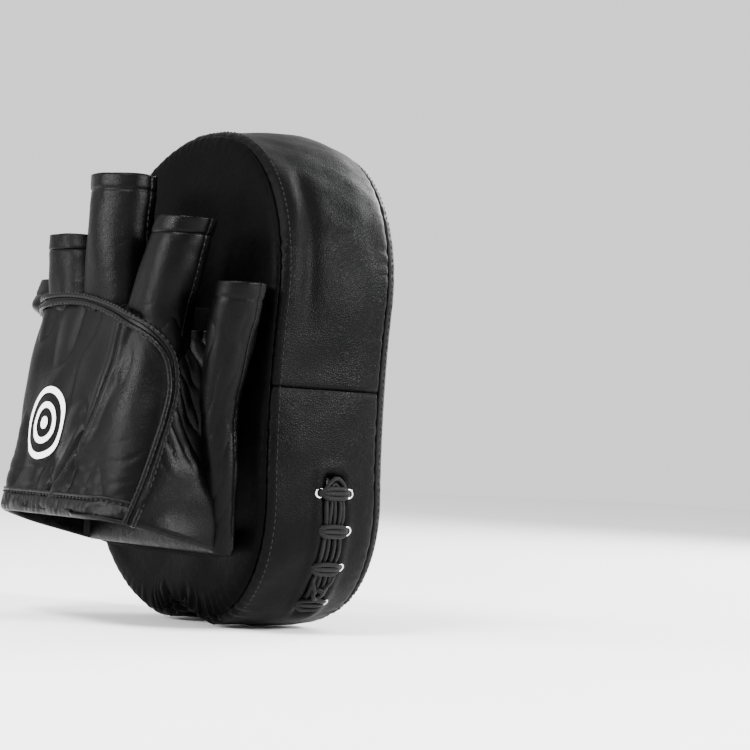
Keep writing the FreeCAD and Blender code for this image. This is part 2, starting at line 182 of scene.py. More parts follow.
def evened(points: Array, count: int, closed: bool = False) -> Array:
    """Points at even steps of length along a fine line of points.

    Args:
        points: The fine line, one point per row.
        count: How many points to give back.
        closed: Whether the last point is left out, since the first stands for it.

    Returns:
        The points, one per row.
    """
    along = run(points)
    return sampled(points, along, np.linspace(0, along[-1], count, endpoint=not closed))


def tangents(path: Array, closed: bool = False) -> Array:
    """The unit direction of a path at each of its points."""
    around = np.roll(path, -1, axis=0) - np.roll(path, 1, axis=0)
    return unit(around if closed else np.gradient(path, axis=0))


def grid_normals(grid: Array) -> Array:
    """Unit normals of a grid of points, from its two directions: rows crossed with columns."""
    return unit(np.cross(np.gradient(grid, axis=0), np.gradient(grid, axis=1)))


def ring_normals(grid: Array) -> Array:
    """Unit normals of a grid whose last column joins its first, turned the other way from grid_normals."""
    closed = np.concatenate([grid[:, -1:], grid, grid[:, :1]], axis=1)
    return -grid_normals(closed)[:, 1:-1]


def mesh_object(name: str, points: Array, faces: Array) -> bpy.types.Object:
    """Makes an object from points in millimetres and faces of four corners, with doubles merged.

    Args:
        name: The piece's name.
        points: The corners, one per row.
        faces: Four indices per row. Rows that repeat a corner become triangles.

    Returns:
        The new object, in the scene.
    """
    keys = np.round(points * 500).astype(np.int64)
    _, first, back = np.unique(keys, axis=0, return_index=True, return_inverse=True)
    faces = back.reshape(-1)[faces]
    repeats = faces == np.roll(faces, 1, axis=1)
    crossed = (faces[:, 0] == faces[:, 2]) | (faces[:, 1] == faces[:, 3])
    whole = faces[~repeats.any(axis=1) & ~crossed]
    pinched = (repeats.sum(axis=1) == 1) & ~crossed
    corners = faces[pinched][~repeats[pinched]].reshape(-1, 3)
    kept = whole.tolist() + corners.tolist()
    mesh = bpy.data.meshes.new(name)
    mesh.from_pydata((points[first] * MM).tolist(), [], kept)
    mesh.polygons.foreach_set("use_smooth", [True] * len(kept))
    mesh.update()
    obj = bpy.data.objects.new(name, mesh)
    bpy.context.scene.collection.objects.link(obj)
    return obj


def grid_faces(rows: int, columns: int, wrap: bool = False, offset: int = 0) -> Array:
    """The four-cornered faces between the points of a grid that is stored row by row.

    Args:
        rows: How many rows the grid has.
        columns: How many columns it has.
        wrap: Whether the last column joins the first.
        offset: The index of the grid's first point.

    Returns:
        Four indices per row.
    """
    i, j = np.meshgrid(np.arange(rows - 1), np.arange(columns if wrap else columns - 1), indexing="ij")
    k = (j + 1) % columns
    corners = (i * columns + j, i * columns + k, (i + 1) * columns + k, (i + 1) * columns + j)
    return np.stack([c.ravel() for c in corners], axis=1) + offset


def grid_object(name: str, grid: Array, wrap: bool = False, hole: Array | None = None,
                flip: bool = False) -> bpy.types.Object:
    """Makes an object from a grid of points.

    Args:
        name: The piece's name.
        grid: Points in rows and columns.
        wrap: Whether the last column joins the first.
        hole: For each face, row by row, whether it is left out.
        flip: Whether the faces turn the other way.

    Returns:
        The new object.
    """
    faces = grid_faces(grid.shape[0], grid.shape[1], wrap)
    if hole is not None:
        faces = faces[~hole.ravel()]
    if flip:
        faces = faces[:, ::-1]
    return mesh_object(name, grid.reshape(-1, 3), faces)


def swept(path: Array, section: Array, up: Array, closed: bool = False) -> tuple[Array, Array]:
    """Carries a closed section along a path.

    The place of corner j at step i is path_i + section_ij0 * side_i + section_ij1 * up_i.

    Args:
        path: The points that the section follows.
        section: Sideways and upward distances, either one outline or one for each step.
        up: The upward direction at each step.
        closed: Whether the path's end joins its start.

    Returns:
        Points and faces. The ends of an open sweep are closed.
    """
    along = tangents(path, closed)
    side = unit(np.cross(along, up))
    up = np.cross(side, along)
    section = np.broadcast_to(section, (len(path),) + section.shape[-2:])
    grid = path[:, None] + section[..., :1] * side[:, None] + section[..., 1:] * up[:, None]
    rows, columns = grid.shape[:2]
    if closed:
        grid = np.concatenate([grid, grid[:1]])
        return grid.reshape(-1, 3), grid_faces(rows + 1, columns, True)
    caps = np.stack([np.repeat(grid[:1].mean(axis=1, keepdims=True), columns, axis=1),
                     np.repeat(grid[-1:].mean(axis=1, keepdims=True), columns, axis=1)])
    grid = np.concatenate([caps[0], grid, caps[1]])
    return grid.reshape(-1, 3), grid_faces(rows + 2, columns, True)


def together(parts: list[tuple[Array, Array]]) -> tuple[Array, Array]:
    """Joins several sets of points and faces into one."""
    offsets = np.cumsum([0] + [len(points) for points, _ in parts[:-1]])
    return np.vstack([p for p, _ in parts]), np.vstack([f + o for (_, f), o in zip(parts, offsets)])


def round_section(sides: int, half_width: float, half_height: float) -> Array:
    """An ellipse of a few corners, for sweeps."""
    a = np.linspace(0, 2 * np.pi, sides, endpoint=False)
    return np.column_stack([half_width * np.cos(a), half_height * np.sin(a)])


def stitch_row(path: Array, out: Array, pitch: float = 3.4, thread: float = 0.42,
               fill: float = 0.7) -> tuple[Array, Array]:
    """A row of stitches lying on a line: each a short grain of thread, arched over the leather.

    Each stitch is an ellipse section that shrinks to nothing at both ends, with its middle raised.

    Args:
        path: The line that the row follows, a point at every step.
        out: The way out of the leather at each point.
        pitch: The distance from one stitch to the next.
        thread: Half the thread's thickness.
        fill: How much of the pitch a stitch takes.

    Returns:
        Points and faces.
    """
    along = run(path)
    count = max(int(along[-1] / pitch), 1)
    starts = (np.arange(count) + 0.5 - fill / 2) * along[-1] / count
    t = np.array([0.0, 0.12, 0.5, 0.88, 1.0])
    want = starts[:, None] + t * fill * along[-1] / count
    at = sampled(path, along, want)
    up = unit(sampled(out, along, want))
    way = unit(at[:, -1:] - at[:, :1])
    side = unit(np.cross(np.broadcast_to(way, up.shape), up))
    size = np.array([0.0, 0.8, 1.0, 0.8, 0.0])[None, :, None, None] * thread
    lift = (np.array([-0.7, 0.15, 0.45, 0.15, -0.7]) * thread)[None, :, None, None]
    a = np.linspace(0, 2 * np.pi, 6, endpoint=False)
    ring = np.cos(a)[None, None, :, None] * side[:, :, None] + np.sin(a)[None, None, :, None] * up[:, :, None]
    grid = at[:, :, None] + ring * size + up[:, :, None] * lift
    faces = grid_faces(5, 6, True)
    every = (faces[None] + (np.arange(count) * 30)[:, None, None]).reshape(-1, 4)
    return grid.reshape(-1, 3), every


def ring_print(inner: float, outer: float, place: Callable[[Array, Array], Array]) -> tuple[Array, Array]:
    """A printed ring: a flat grid of radius and angle, laid on a surface by the caller's own rule."""
    radius, angle = np.meshgrid(np.linspace(inner, outer, 5), np.linspace(0, 2 * np.pi, 73), indexing="ij")
    return place(radius, angle).reshape(-1, 3), grid_faces(5, 73)


def nearest(grid: Array, x: Array, z: Array, gap: float) -> Array:
    """Lays places on a finished skin that faces along Y: the mean depth of the skin's nearest points.

    Args:
        grid: The skin's points.
        x: Where the places are, across.
        z: Where they are, up.
        gap: How far behind the skin they lie.

    Returns:
        The places, shaped as x with a last axis of three.
    """
    flat = grid.reshape(-1, 3)
    near = flat[(np.abs(flat[:, 0] - x.mean()) < 40) & (np.abs(flat[:, 2] - z.mean()) < 40)]
    apart = (near[None, :, 0] - x.reshape(-1, 1)) ** 2 + (near[None, :, 2] - z.reshape(-1, 1)) ** 2
    weight = np.exp(-apart / 1.2) + 1e-9 * np.exp(-apart / 20.0)
    y = (weight * near[None, :, 1]).sum(axis=1) / weight.sum(axis=1) + gap
    return np.stack([x, y.reshape(x.shape), z], axis=-1)


# ---------------------------------------------------------------------------------------------------
# Finishes
# ---------------------------------------------------------------------------------------------------


def shade(colour: tuple[float, float, float], times: float = 1.0) -> tuple[float, ...]:
    """A colour made darker or lighter, with its alpha."""
    return tuple(c * times for c in colour) + (1.0,)


class Nodes:
    """A short way to build a shader: each call adds a node and links what it is given."""

    def __init__(self, name: str) -> None:
        """Starts an empty node material under a name.

        Args:
            name: The material's name.
        """
        self.material = bpy.data.materials.new(name)
        self.material.use_nodes = True
        self.tree = self.material.node_tree
        self.tree.nodes.clear()

    def add(self, kind: str, settings: dict[str, object] | None = None, **inputs: object) -> bpy.types.Node:
        """Adds a node.

        Args:
            kind: Blender's name for the node's type, without ShaderNode in front.
            settings: Properties of the node itself.
            inputs: Sockets by name, with underscores for spaces, each a value or an output socket.

        Returns:
            The node.
        """
        node = self.tree.nodes.new("ShaderNode" + kind)
        for key, value in (settings or {}).items():
            setattr(node, key, value)
        for key, value in inputs.items():
            socket = node.inputs[int(key[1:]) if key[0] == "i" and key[1:].isdigit() else key.replace("_", " ")]
            if isinstance(value, bpy.types.NodeSocket):
                self.tree.links.new(value, socket)
            else:
                socket.default_value = value
        return node

    def place(self) -> bpy.types.NodeSocket:
        """The place on the object that every pattern reads."""
        return self.add("TexCoord").outputs["Object"]

    def spread(self, value: bpy.types.NodeSocket, low: float, high: float, to_low: float,
               to_high: float) -> bpy.types.NodeSocket:
        """Carries one range of values over to another."""
        node = self.add("MapRange", {}, Value=value, From_Min=low, From_Max=high, To_Min=to_low, To_Max=to_high)
        return node.outputs["Result"]

    def noise(self, at: bpy.types.NodeSocket, scale: float, detail: float = 2.0,
              **more: float) -> bpy.types.NodeSocket:
        """Noise at a scale, between 0 and 1."""
        return self.add("TexNoise", {}, Vector=at, Scale=scale, Detail=detail, **more).outputs["Fac"]

    def mixed(self, share: bpy.types.NodeSocket, first: object, second: object) -> bpy.types.NodeSocket:
        """A colour between two others."""
        return self.add("Mix", {"data_type": "RGBA"}, Factor=share, i6=first, i7=second).outputs[2]

    def bump(self, height: bpy.types.NodeSocket, strength: float, distance: float,
             **more: object) -> bpy.types.NodeSocket:
        """The normal, tipped by a height."""
        return self.add("Bump", {}, Strength=strength, Distance=distance, Height=height, **more).outputs[0]

    def maths(self, operation: str, a: object, b: object = 0.0) -> bpy.types.NodeSocket:
        """One sum on two values."""
        return self.add("Math", {"operation": operation}, i0=a, i1=b).outputs[0]

    def done(self, shader: bpy.types.Node) -> bpy.types.Material:
        """Links the shader to the material's surface and gives back the material."""
        self.add("OutputMaterial", {}, Surface=shader.outputs[0])
        return self.material


@dataclass(frozen=True)
class Leather:
    """Coated leather: a pebbled grain of small cells, fine pores, drawn creases and uneven gloss.

    The grain's height is the distance to the nearest cell wall, the pores and creases are noise; the colour is painted
    darker in the grain's valleys, as shade.
    """

    name: str
    colour: tuple[float, float, float] = (0.0006, 0.0006, 0.00066)
    roughness: float = 0.38
    uneven: float = 0.09
    cell: float = 1.15
    grain: float = 0.22
    crease: float = 0.25
    crease_length: float = 9.0
    specular: float = 0.045

    def build(self) -> bpy.types.Material:
        """Makes the material."""
        n = Nodes(self.name)
        at = n.place()
        warp = n.add("TexNoise", {}, Vector=at, Scale=420.0, Detail=2.0)
        bent = n.add("Mix", {"data_type": "VECTOR"}, Factor=0.0012, i4=at, i5=warp.outputs["Color"])
        cells = n.add("TexVoronoi", {"feature": CELLS}, Vector=bent.outputs[1], Scale=1000.0 / self.cell,
                      Randomness=0.95)
        pebble = n.spread(cells.outputs["Distance"], 0.0, 0.32, 0.0, 1.0)
        pores = n.noise(at, 2600.0)
        wrinkles = n.noise(at, 1000.0 / self.crease_length, 4.0, Roughness=0.55, Distortion=0.6)
        patches = n.noise(at, 26.0, 3.0)
        gloss = n.maths("ADD", n.spread(patches, 0.3, 0.7, self.roughness - self.uneven, self.roughness + self.uneven),
                        n.spread(pebble, 0.0, 1.0, 0.10, -0.02))
        dark = shade(self.colour, 0.55)
        tone = n.mixed(n.spread(patches, 0.35, 0.65, 0.0, 1.0), dark, shade(self.colour, 1.5))
        # Painted shade: the grain's valleys, near the cell walls, take the darker tone.
        grain_valley_shade = n.mixed(n.spread(pebble, 0.0, 0.35, 1.0, 0.0), tone, dark)
        height = n.maths("ADD", n.maths("MULTIPLY", pebble, self.grain), n.maths("MULTIPLY", pores, self.grain * 0.35))
        broad = n.bump(wrinkles, self.crease, 0.0011, Normal=n.bump(height, 0.6, 0.0005))
        shader = n.add("BsdfPrincipled", {}, Base_Color=grain_valley_shade, Roughness=gloss, Normal=broad,
                       Specular_IOR_Level=self.specular)
        return n.done(shader)


@dataclass(frozen=True)
class Thread:
    """Twisted thread or round lace: fine slanting strands."""

    name: str
    colour: tuple[float, float, float] = (0.0011, 0.0011, 0.0012)
    strand: float = 0.8
    roughness: float = 0.55
    sheen: float = 0.03

    def build(self) -> bpy.types.Material:
        """Makes the material."""
        n = Nodes(self.name)
        at = n.place()
        turned = n.add("Mapping", {}, Vector=at, Rotation=(0.6, 0.5, 0.7))
        strands = n.add("TexWave", {"wave_type": "BANDS"}, Vector=turned.outputs[0], Scale=520.0 / self.strand,
                        Distortion=1.5, Detail=2.0)
        fuzz = n.noise(at, 1900.0, 3.0)
        tone = n.mixed(strands.outputs["Fac"], shade(self.colour, 0.5), shade(self.colour, 1.7))
        height = n.maths("ADD", strands.outputs["Fac"], n.maths("MULTIPLY", fuzz, 0.5))
        gloss = n.spread(fuzz, 0.2, 0.8, self.roughness - 0.1, self.roughness + 0.15)
        shader = n.add("BsdfPrincipled", {}, Base_Color=tone, Roughness=gloss, Normal=n.bump(height, 0.5, 0.0003),
                       Sheen_Weight=self.sheen, Sheen_Roughness=0.4, Specular_IOR_Level=0.12)
        return n.done(shader)


@dataclass(frozen=True)
class Lining:
    """Woven lining cloth: two sets of bands crossing at right angles, with a nap of noise."""

    name: str
    colour: tuple[float, float, float] = (0.0016, 0.0016, 0.0018)
    yarn: float = 0.9

    def build(self) -> bpy.types.Material:
        """Makes the material."""
        n = Nodes(self.name)
        at = n.place()
        across = n.add("TexWave", {"bands_direction": "X"}, Vector=at, Scale=310.0 / self.yarn, Distortion=0.4)
        down = n.add("TexWave", {"bands_direction": "Z"}, Vector=at, Scale=310.0 / self.yarn, Distortion=0.4)
        weave = n.maths("MAXIMUM", across.outputs["Fac"], down.outputs["Fac"])
        nap = n.noise(at, 700.0, 3.0)
        tone = n.mixed(n.maths("MULTIPLY", weave, nap), shade(self.colour, 0.5), shade(self.colour, 1.5))
        bump = n.bump(n.maths("ADD", weave, nap), 0.5, 0.0004)
        shader = n.add("BsdfPrincipled", {}, Base_Color=tone, Normal=bump,
                       Roughness=n.spread(nap, 0.3, 0.7, 0.75, 0.95), Sheen_Weight=0.01,
                       Specular_IOR_Level=0.04)
        return n.done(shader)


@dataclass(frozen=True)
class Foam:
    """Closed-cell foam: round cells with thin bright walls."""

    name: str
    colour: tuple[float, float, float] = (0.09, 0.09, 0.10)

    def build(self) -> bpy.types.Material:
        """Makes the material."""
        n = Nodes(self.name)
        at = n.place()
        cells = n.add("TexVoronoi", {}, Vector=at, Scale=900.0).outputs["Distance"]
        patches = n.noise(at, 60.0, 3.0)
        tone = n.mixed(n.maths("MULTIPLY", cells, patches), shade(self.colour, 0.6), shade(self.colour, 1.4))
        shader = n.add("BsdfPrincipled", {}, Base_Color=tone, Normal=n.bump(cells, 0.5, 0.0004),
                       Roughness=n.spread(patches, 0.3, 0.7, 0.7, 0.95))
        return n.done(shader)


@dataclass(frozen=True)
class Nickel:
    """Rolled nickel plate: fine scratches and faint clouding."""

    name: str
    colour: tuple[float, float, float] = (0.80, 0.78, 0.73)

    def build(self) -> bpy.types.Material:
        """Makes the material."""
        n = Nodes(self.name)
        at = n.place()
        cloud = n.noise(at, 260.0, 4.0)
        scratch = n.noise(at, 1800.0, Distortion=2.0)
        tone = n.mixed(n.spread(cloud, 0.3, 0.6, 0.0, 1.0), shade(self.colour, 0.7), shade(self.colour))
        shader = n.add("BsdfPrincipled", {}, Base_Color=tone, Metallic=1.0, Normal=n.bump(scratch, 0.12, 0.0002),
                       Roughness=n.spread(cloud, 0.3, 0.7, 0.14, 0.32))
        return n.done(shader)


@dataclass(frozen=True)
class Print:
    """White ink on leather: chalky, with the grain showing through and worn specks."""

    name: str
    colour: tuple[float, float, float] = (0.80, 0.80, 0.79)

    def build(self) -> bpy.types.Material:
        """Makes the material."""
        n = Nodes(self.name)
        at = n.place()
        cells = n.add("TexVoronoi", {"feature": CELLS}, Vector=at, Scale=850.0).outputs["Distance"]
        wear = n.noise(at, 900.0, 4.0)
        speck = n.maths("MULTIPLY", n.spread(wear, 0.60, 0.70, 0.0, 1.0), n.spread(cells, 0.0, 0.1, 1.0, 0.3))
        tone = n.mixed(speck, shade(self.colour), shade(self.colour, 0.62))
        shader = n.add("BsdfPrincipled", {}, Base_Color=tone, Normal=n.bump(cells, 0.3, 0.0003),
                       Roughness=n.spread(wear, 0.3, 0.7, 0.45, 0.65))
        return n.done(shader)


@dataclass
class Wardrobe:
    """Every finish of the mitt, made once."""

    strike: bpy.types.Material = field(default_factory=lambda: Leather(
        "strike_leather", (0.0024, 0.0024, 0.0027), roughness=0.50, uneven=0.05, cell=0.7, grain=0.08, crease=0.08,
        crease_length=26.0, specular=0.06).build())
    gusset: bpy.types.Material = field(default_factory=lambda: Leather(
        "gusset_leather", grain=0.30, specular=0.04).build())
    back: bpy.types.Material = field(default_factory=lambda: Leather(
        "back_leather", roughness=0.45, cell=1.0, grain=0.15, specular=0.018).build())
    glove: bpy.types.Material = field(default_factory=lambda: Leather(
        "glove_leather", roughness=0.33, cell=0.9, grain=0.15, crease=0.4, crease_length=12.0,
        specular=0.062).build())
    welt: bpy.types.Material = field(default_factory=lambda: Leather(
        "welt_leather", roughness=0.30, cell=0.8, grain=0.14, crease=0.3, crease_length=6.0,
        specular=0.09).build())
    binding: bpy.types.Material = field(default_factory=lambda: Leather(
        "binding_leather", roughness=0.32, cell=0.8, grain=0.16, crease=0.5, crease_length=7.0,
        specular=0.09).build())
    lining: bpy.types.Material = field(default_factory=lambda: Lining("lining_cloth").build())
    lace: bpy.types.Material = field(default_factory=lambda: Thread("round_lace", strand=1.0).build())
    thread: bpy.types.Material = field(default_factory=lambda: Thread(
        "sewing_thread", (0.003, 0.003, 0.0034), strand=0.5, roughness=0.42).build())
    foam: bpy.types.Material = field(default_factory=lambda: Foam("foam_cells").build())
    nickel: bpy.types.Material = field(default_factory=lambda: Nickel("nickel_plate").build())
    ink: bpy.types.Material = field(default_factory=lambda: Print("white_ink").build())


def thicken(obj: bpy.types.Object, thickness: float) -> bpy.types.Object:
    """Gives a skin its leather's thickness, inwards from the face side.

    Args:
        obj: The skin.
        thickness: How thick the leather is.

    Returns:
        The same skin.
    """
    wall = obj.modifiers.new("thickness", "SOLIDIFY")
    wall.thickness, wall.offset, wall.use_even_offset = thickness * MM, -1.0, False
    return obj


def dress(obj: bpy.types.Object, material: bpy.types.Material, body: Body) -> bpy.types.Object:
    """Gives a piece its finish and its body.

    Args:
        obj: The piece.
        material: Its finish.
        body: The CAD body that it rides on.

    Returns:
        The same piece.
    """
    obj.data.materials.append(material)
    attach(obj, body.value)
    LOG.info("%s: %d points on %s", obj.name, len(obj.data.vertices), body.value)
    return obj


# ---------------------------------------------------------------------------------------------------
# The pad
# ---------------------------------------------------------------------------------------------------


@dataclass
class PadForm:
    """The pad's shape: an outline, and a bow round a far axis that every depth follows.

    The outline is flat sides, a top of one radius and lower corners of another, with a shallow dimple
    in the foot. A place is found from a step along the outline, an inset from it and a depth.
    """

    half_width: float = 89.0
    half_height: float = 125.0
    taper: float = 3.0
    top_corner: float = 86.0
    foot_corner: float = 70.0
    dimple_depth: float = 7.5
    dimple_width: float = 13.0
    bow: float = BOW
    rise: float = 1.2
    steps: int = 520

    def __post_init__(self) -> None:
        """Lays out the outline and the way out of it."""
        arc = np.linspace(0, np.pi / 2, 60)
        foot_x, foot_z = self.half_width - self.taper - self.foot_corner, self.foot_corner - self.half_height
        head_x, head_z = self.half_width - self.top_corner, self.half_height - self.top_corner
        half = np.vstack([
            [[0.0, -self.half_height]],
            np.column_stack([foot_x + self.foot_corner * np.sin(arc), foot_z - self.foot_corner * np.cos(arc)]),
            np.column_stack([head_x + self.top_corner * np.cos(arc), head_z + self.top_corner * np.sin(arc)]),
            [[0.0, self.half_height]],
        ])
        half = evened(half, 2000)
        near_foot = half[:, 1] < 0
        half[:, 1] += np.where(near_foot, self.dimple_depth * np.exp(-((half[:, 0] / self.dimple_width) ** 2)), 0)
        half = evened(half, self.steps // 2 + 1)
        self.outline = np.vstack([half, half[-2:0:-1] * [-1, 1]]) + [0.0, self.rise]
        along = tangents(self.outline, True)
        self.out = np.column_stack([along[:, 1], -along[:, 0]])

    def bowed(self, x: Array, z: Array, depth: Array) -> Array:
        """Places at a depth in front of the back, which is bowed round an axis far in front of the pad."""
        y = -self.bow + np.sqrt((self.bow - depth) ** 2 - z**2)
        return np.stack(np.broadcast_arrays(x, y, z), axis=-1)

    def ring(self, inset: Array, depth: Array) -> Array:
        """Rows that run round the outline: row i lies inset_i inside it, at depth_i."""
        flat = self.outline[None] - inset[:, None, None] * self.out[None]
        return self.ring_at(flat, np.broadcast_to(depth[:, None], flat.shape[:2]))

    def ring_at(self, flat: Array, depth: Array) -> Array:
        """Rows at a depth for each, from their places in the pad's plane."""
        return self.bowed(flat[..., 0], flat[..., 1], depth)

    def shrunk(self, start: float, scales: Array) -> Array:
        """Rows that close on the pad's spine: spine + scale * (outline inset by start - spine).

        Args:
            start: How far inside the outline the rows begin.
            scales: One share for each row, 0 on the spine.

        Returns:
            Places in the pad's plane, a row for each scale.
        """
        edge = self.outline - start * self.out
        spine = np.column_stack([np.zeros(len(edge)), np.clip(edge[:, 1], -58.0, 42.0)])
        return spine[None] + scales[:, None, None] * (edge - spine)[None]


@dataclass
class Pad:
    """The pad's four leather panels, its foam and the thread of its seams."""

    form: PadForm
    finishes: Wardrobe
    back_seam: float = 3.6
    face_seam: float = 67.4
    side_seam: float = -4.0
    leather: float = 1.7

    def gathers(self, grid: Array, seam_distance: Array, seed: int) -> Array:
        """How far the leather is drawn in or out near a seam: short uneven waves along it, dying away inside.

        Args:
            grid: Rows that run round the pad.
            seam_distance: How far each place is from the seam.
            seed: Chooses the waves.

        Returns:
            The move along the normal, at each place.
        """
        steps = np.arange(grid.shape[1]) / grid.shape[1]
        rng = np.random.default_rng(SEED + seed)
        waves = sum(rng.uniform(0.5, 1.0) * np.sin(2 * np.pi * steps * k + rng.uniform(0, 6.3))
                    for k in rng.integers(60, 130, 9)) / 3
        near_foot = np.exp(-((grid[..., 0] / 38.0) ** 2)) * smooth((-grid[..., 2] - 95.0) / 22.0)
        strength = 0.22 + 1.15 * near_foot
        reach = 5.0 + 9.0 * near_foot
        return waves[None] * strength * np.exp(-((seam_distance / reach) ** 2))

    def swollen(self, grid: Array, seam_distance: Array, amount: float, seed: int) -> Array:
        """Moves a grid along its normals by soft unevenness and the gathers at its seams.

        Args:
            grid: Rows that run round the pad.
            seam_distance: How far each place is from a seam.
            amount: How high the soft unevenness is.
            seed: Chooses the unevenness.

        Returns:
            The moved grid.
        """
        normal = self.outward(grid)
        away = smooth(seam_distance / 14.0)
        lift = amount * away * (ripple(grid, 62.0, seed) + 0.35 * ripple(grid, 21.0, seed + 1))
        lift = lift + self.gathers(grid, seam_distance, seed + 2)
        return grid + normal * lift[..., None]

    def outward(self, grid: Array) -> Array:
        """Normals of a ring grid, pointing out of the pad."""
        return ring_normals(grid)

    def gusset_profile(self) -> tuple[Array, Array]:
        """Inset and depth across the side band: rolled in at both seams and crowned between them."""
        back, face = self.back_seam, self.face_seam
        rolled_back = [(7.0, back + 0.2), (4.0, back + 0.1), (2.0, back + 0.2), (0.9, back + 1.1)]
        crown = [(0.1, 6.5), (-0.4, 10.5), (-1.0, 18.0), (-1.5, 28.0), (-1.5, 36.5), (-1.4, 43.5), (-0.9, 51.0),
                 (0.3, 58.5)]
        rolled_face = [(1.5, face - 3.4), (2.5, face - 1.0), (3.8, face - 0.3), (7.5, face - 0.1)]
        fine = spline(np.array(rolled_back + crown + rolled_face), 58)
        return fine[:, 0], fine[:, 1]

    def gusset(self) -> None:
        """The side band's upper and lower lengths, the lower with its laced slit."""
        inset, depth = self.gusset_profile()
        grid = self.form.ring(inset, depth)
        distance = np.minimum(depth - self.back_seam, self.face_seam - depth)[:, None]
        grid = self.swollen(grid, np.maximum(distance, 0), 0.55, 3)
        z = grid[..., 2]
        valley, ridge = (np.exp(-(((depth[:, None] - at) / 4.0) ** 2)) for at in (19.0, 11.0))
        dent = -1.3 * valley + 0.7 * ridge
        grid = grid + self.outward(grid) * (dent * smooth((z - 18.0) / 30.0) * smooth((112.0 - z) / 25.0))[..., None]
        height = self.form.outline[:, 1]
        gap = np.abs(height - self.side_seam)
        grid = grid - self.outward(grid) * (0.9 * np.exp(-((gap / 1.2) ** 2)))[None, :, None]
        self.band_grid = grid
        upper = np.flatnonzero(height > self.side_seam)
        lower = np.flatnonzero(height <= self.side_seam)
        self.band("gusset_upper_skin", grid[:, upper[0] - 1:upper[-1] + 2], "gusset_upper")
        order = np.r_[upper[-1], lower[lower > upper[-1]], lower[lower < upper[0]], upper[0]]
        self.band("gusset_lower_skin", self.slit(grid[:, order], depth), "gusset_lower")

    def slit(self, grid: Array, depth: Array) -> tuple[Array, Array]:
        """Opens the slit for the lace: faces inside it go, and its lips turn in.

        Args:
            grid: The side band's lower length.
            depth: The depth of each row.

        Returns:
            The grid with its lips, and for each face whether it lies in the slit.
        """
        z, x = grid[..., 2], grid[..., 0]
        across = np.abs(depth[:, None] - 40.0)
        past_end = np.maximum(np.maximum(z + 47.0, -113.0 - z), 0)
        distance = np.hypot(np.maximum(across - 3.2, 0), past_end) + np.where(x < -20, 0, 99)
        lips = 2.2 * np.exp(-((distance / 1.9) ** 2)) - 0.9 * np.exp(-(((distance - 5.5) / 2.8) ** 2))
        grid = grid - self.outward_open(grid) * lips[..., None]
        inside = (distance < 0.05)
        hole = inside[:-1, :-1] & inside[1:, :-1] & inside[:-1, 1:] & inside[1:, 1:]
        return grid, hole

    def outward_open(self, grid: Array) -> Array:
        """Normals of a grid that does not close on itself, pointing out of the pad."""
        return -grid_normals(grid)

    def band(self, name: str, made: Array | tuple[Array, Array], node: str) -> None:
        """Makes one length of the side band from its grid, and its hole if it has one.

        Args:
            name: The piece's name.
            made: The grid, alone or with its missing faces.
            node: The CAD node it replaces.
        """
        grid, hole = made if isinstance(made, tuple) else (made, None)
        skin = grid_object(name, grid, hole=hole)
        dress(thicken(skin, self.leather), self.finishes.gusset, Body.PAD)
        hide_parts(node)

    def strike(self) -> None:
        """The striking face: a soft shoulder at its seam, then a long low crown."""
        face = self.face_seam
        knots = [(7.5, face + 0.1), (5.0, face + 0.15), (3.6, face + 0.6), (3.6, face + 1.8), (4.9, face + 4.1),
                 (7.3, face + 6.5), (10.6, face + 8.2), (14.6, face + 9.0), (19.0, face + 9.3)]
        rim = spline(np.array(knots), 30)
        outer = self.form.ring(rim[:, 0], rim[:, 1])
        scales = 1 - np.linspace(0, 1, 62)[1:]
        flat = self.form.shrunk(19.0, scales)
        crown = np.broadcast_to(face + 9.3 + 0.9 * (1 - scales[:, None] ** 2), flat.shape[:2])
        grid = np.concatenate([outer, self.form.ring_at(flat, crown)])
        distance = np.linalg.norm(grid - grid[4:5], axis=-1)
        rows = np.r_[np.zeros(4), np.ones(len(grid) - 4)][:, None]
        fade = np.concatenate([np.ones(len(outer)), smooth(scales / 0.25)])[:, None]
        lift = 0.35 * smooth(distance / 25.0) * ripple(grid, 75.0, 9) + self.gathers(grid, distance * rows, 12)
        valley = 4.0 * np.exp(-((grid[..., 0] / 11.0) ** 2)) * smooth((-grid[..., 2] - 78.0) / 40.0)
        grid = grid + self.outward(grid) * (lift * fade)[..., None]
        grid[..., 1] += valley * smooth((distance - 3.0) / 16.0)
        self.strike_grid = grid
        skin = grid_object("strike_skin", grid, wrap=True)
        dress(thicken(skin, self.leather), self.finishes.strike, Body.PAD)
        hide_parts("strike_panel")

    def back(self) -> None:
        """The back of the pad, which swells a little inside its seam."""
        seam = self.back_seam
        knots = [(7.0, seam), (4.6, seam - 0.05), (3.0, seam - 0.3), (2.9, seam - 1.1), (4.1, seam - 2.2),
                 (7.0, seam - 3.0), (12.0, seam - 3.4)]
        rim = spline(np.array(knots), 22)
        inner = self.form.ring(rim[:, 0], rim[:, 1])
        scales = 1 - np.linspace(0, 1, 50)[1:]
        flat = self.form.shrunk(12.0, scales)
        grid = np.concatenate([inner, self.form.ring_at(flat, np.full(flat.shape[:2], seam - 3.4))])
        distance = np.linalg.norm(grid - grid[4:5], axis=-1)
        fade = np.concatenate([np.ones(len(inner)), smooth(scales / 0.25)])[:, None]
        lift = 0.3 * smooth(distance / 20.0) * (ripple(grid, 48.0, 15) - 0.8) * fade + self.gathers(grid, distance, 17)
        grid = grid - self.outward(grid) * (lift * fade)[..., None]
        skin = grid_object("back_skin", grid, wrap=True, flip=True)
        dress(thicken(skin, self.leather), self.finishes.back, Body.PAD)
        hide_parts("back_panel")

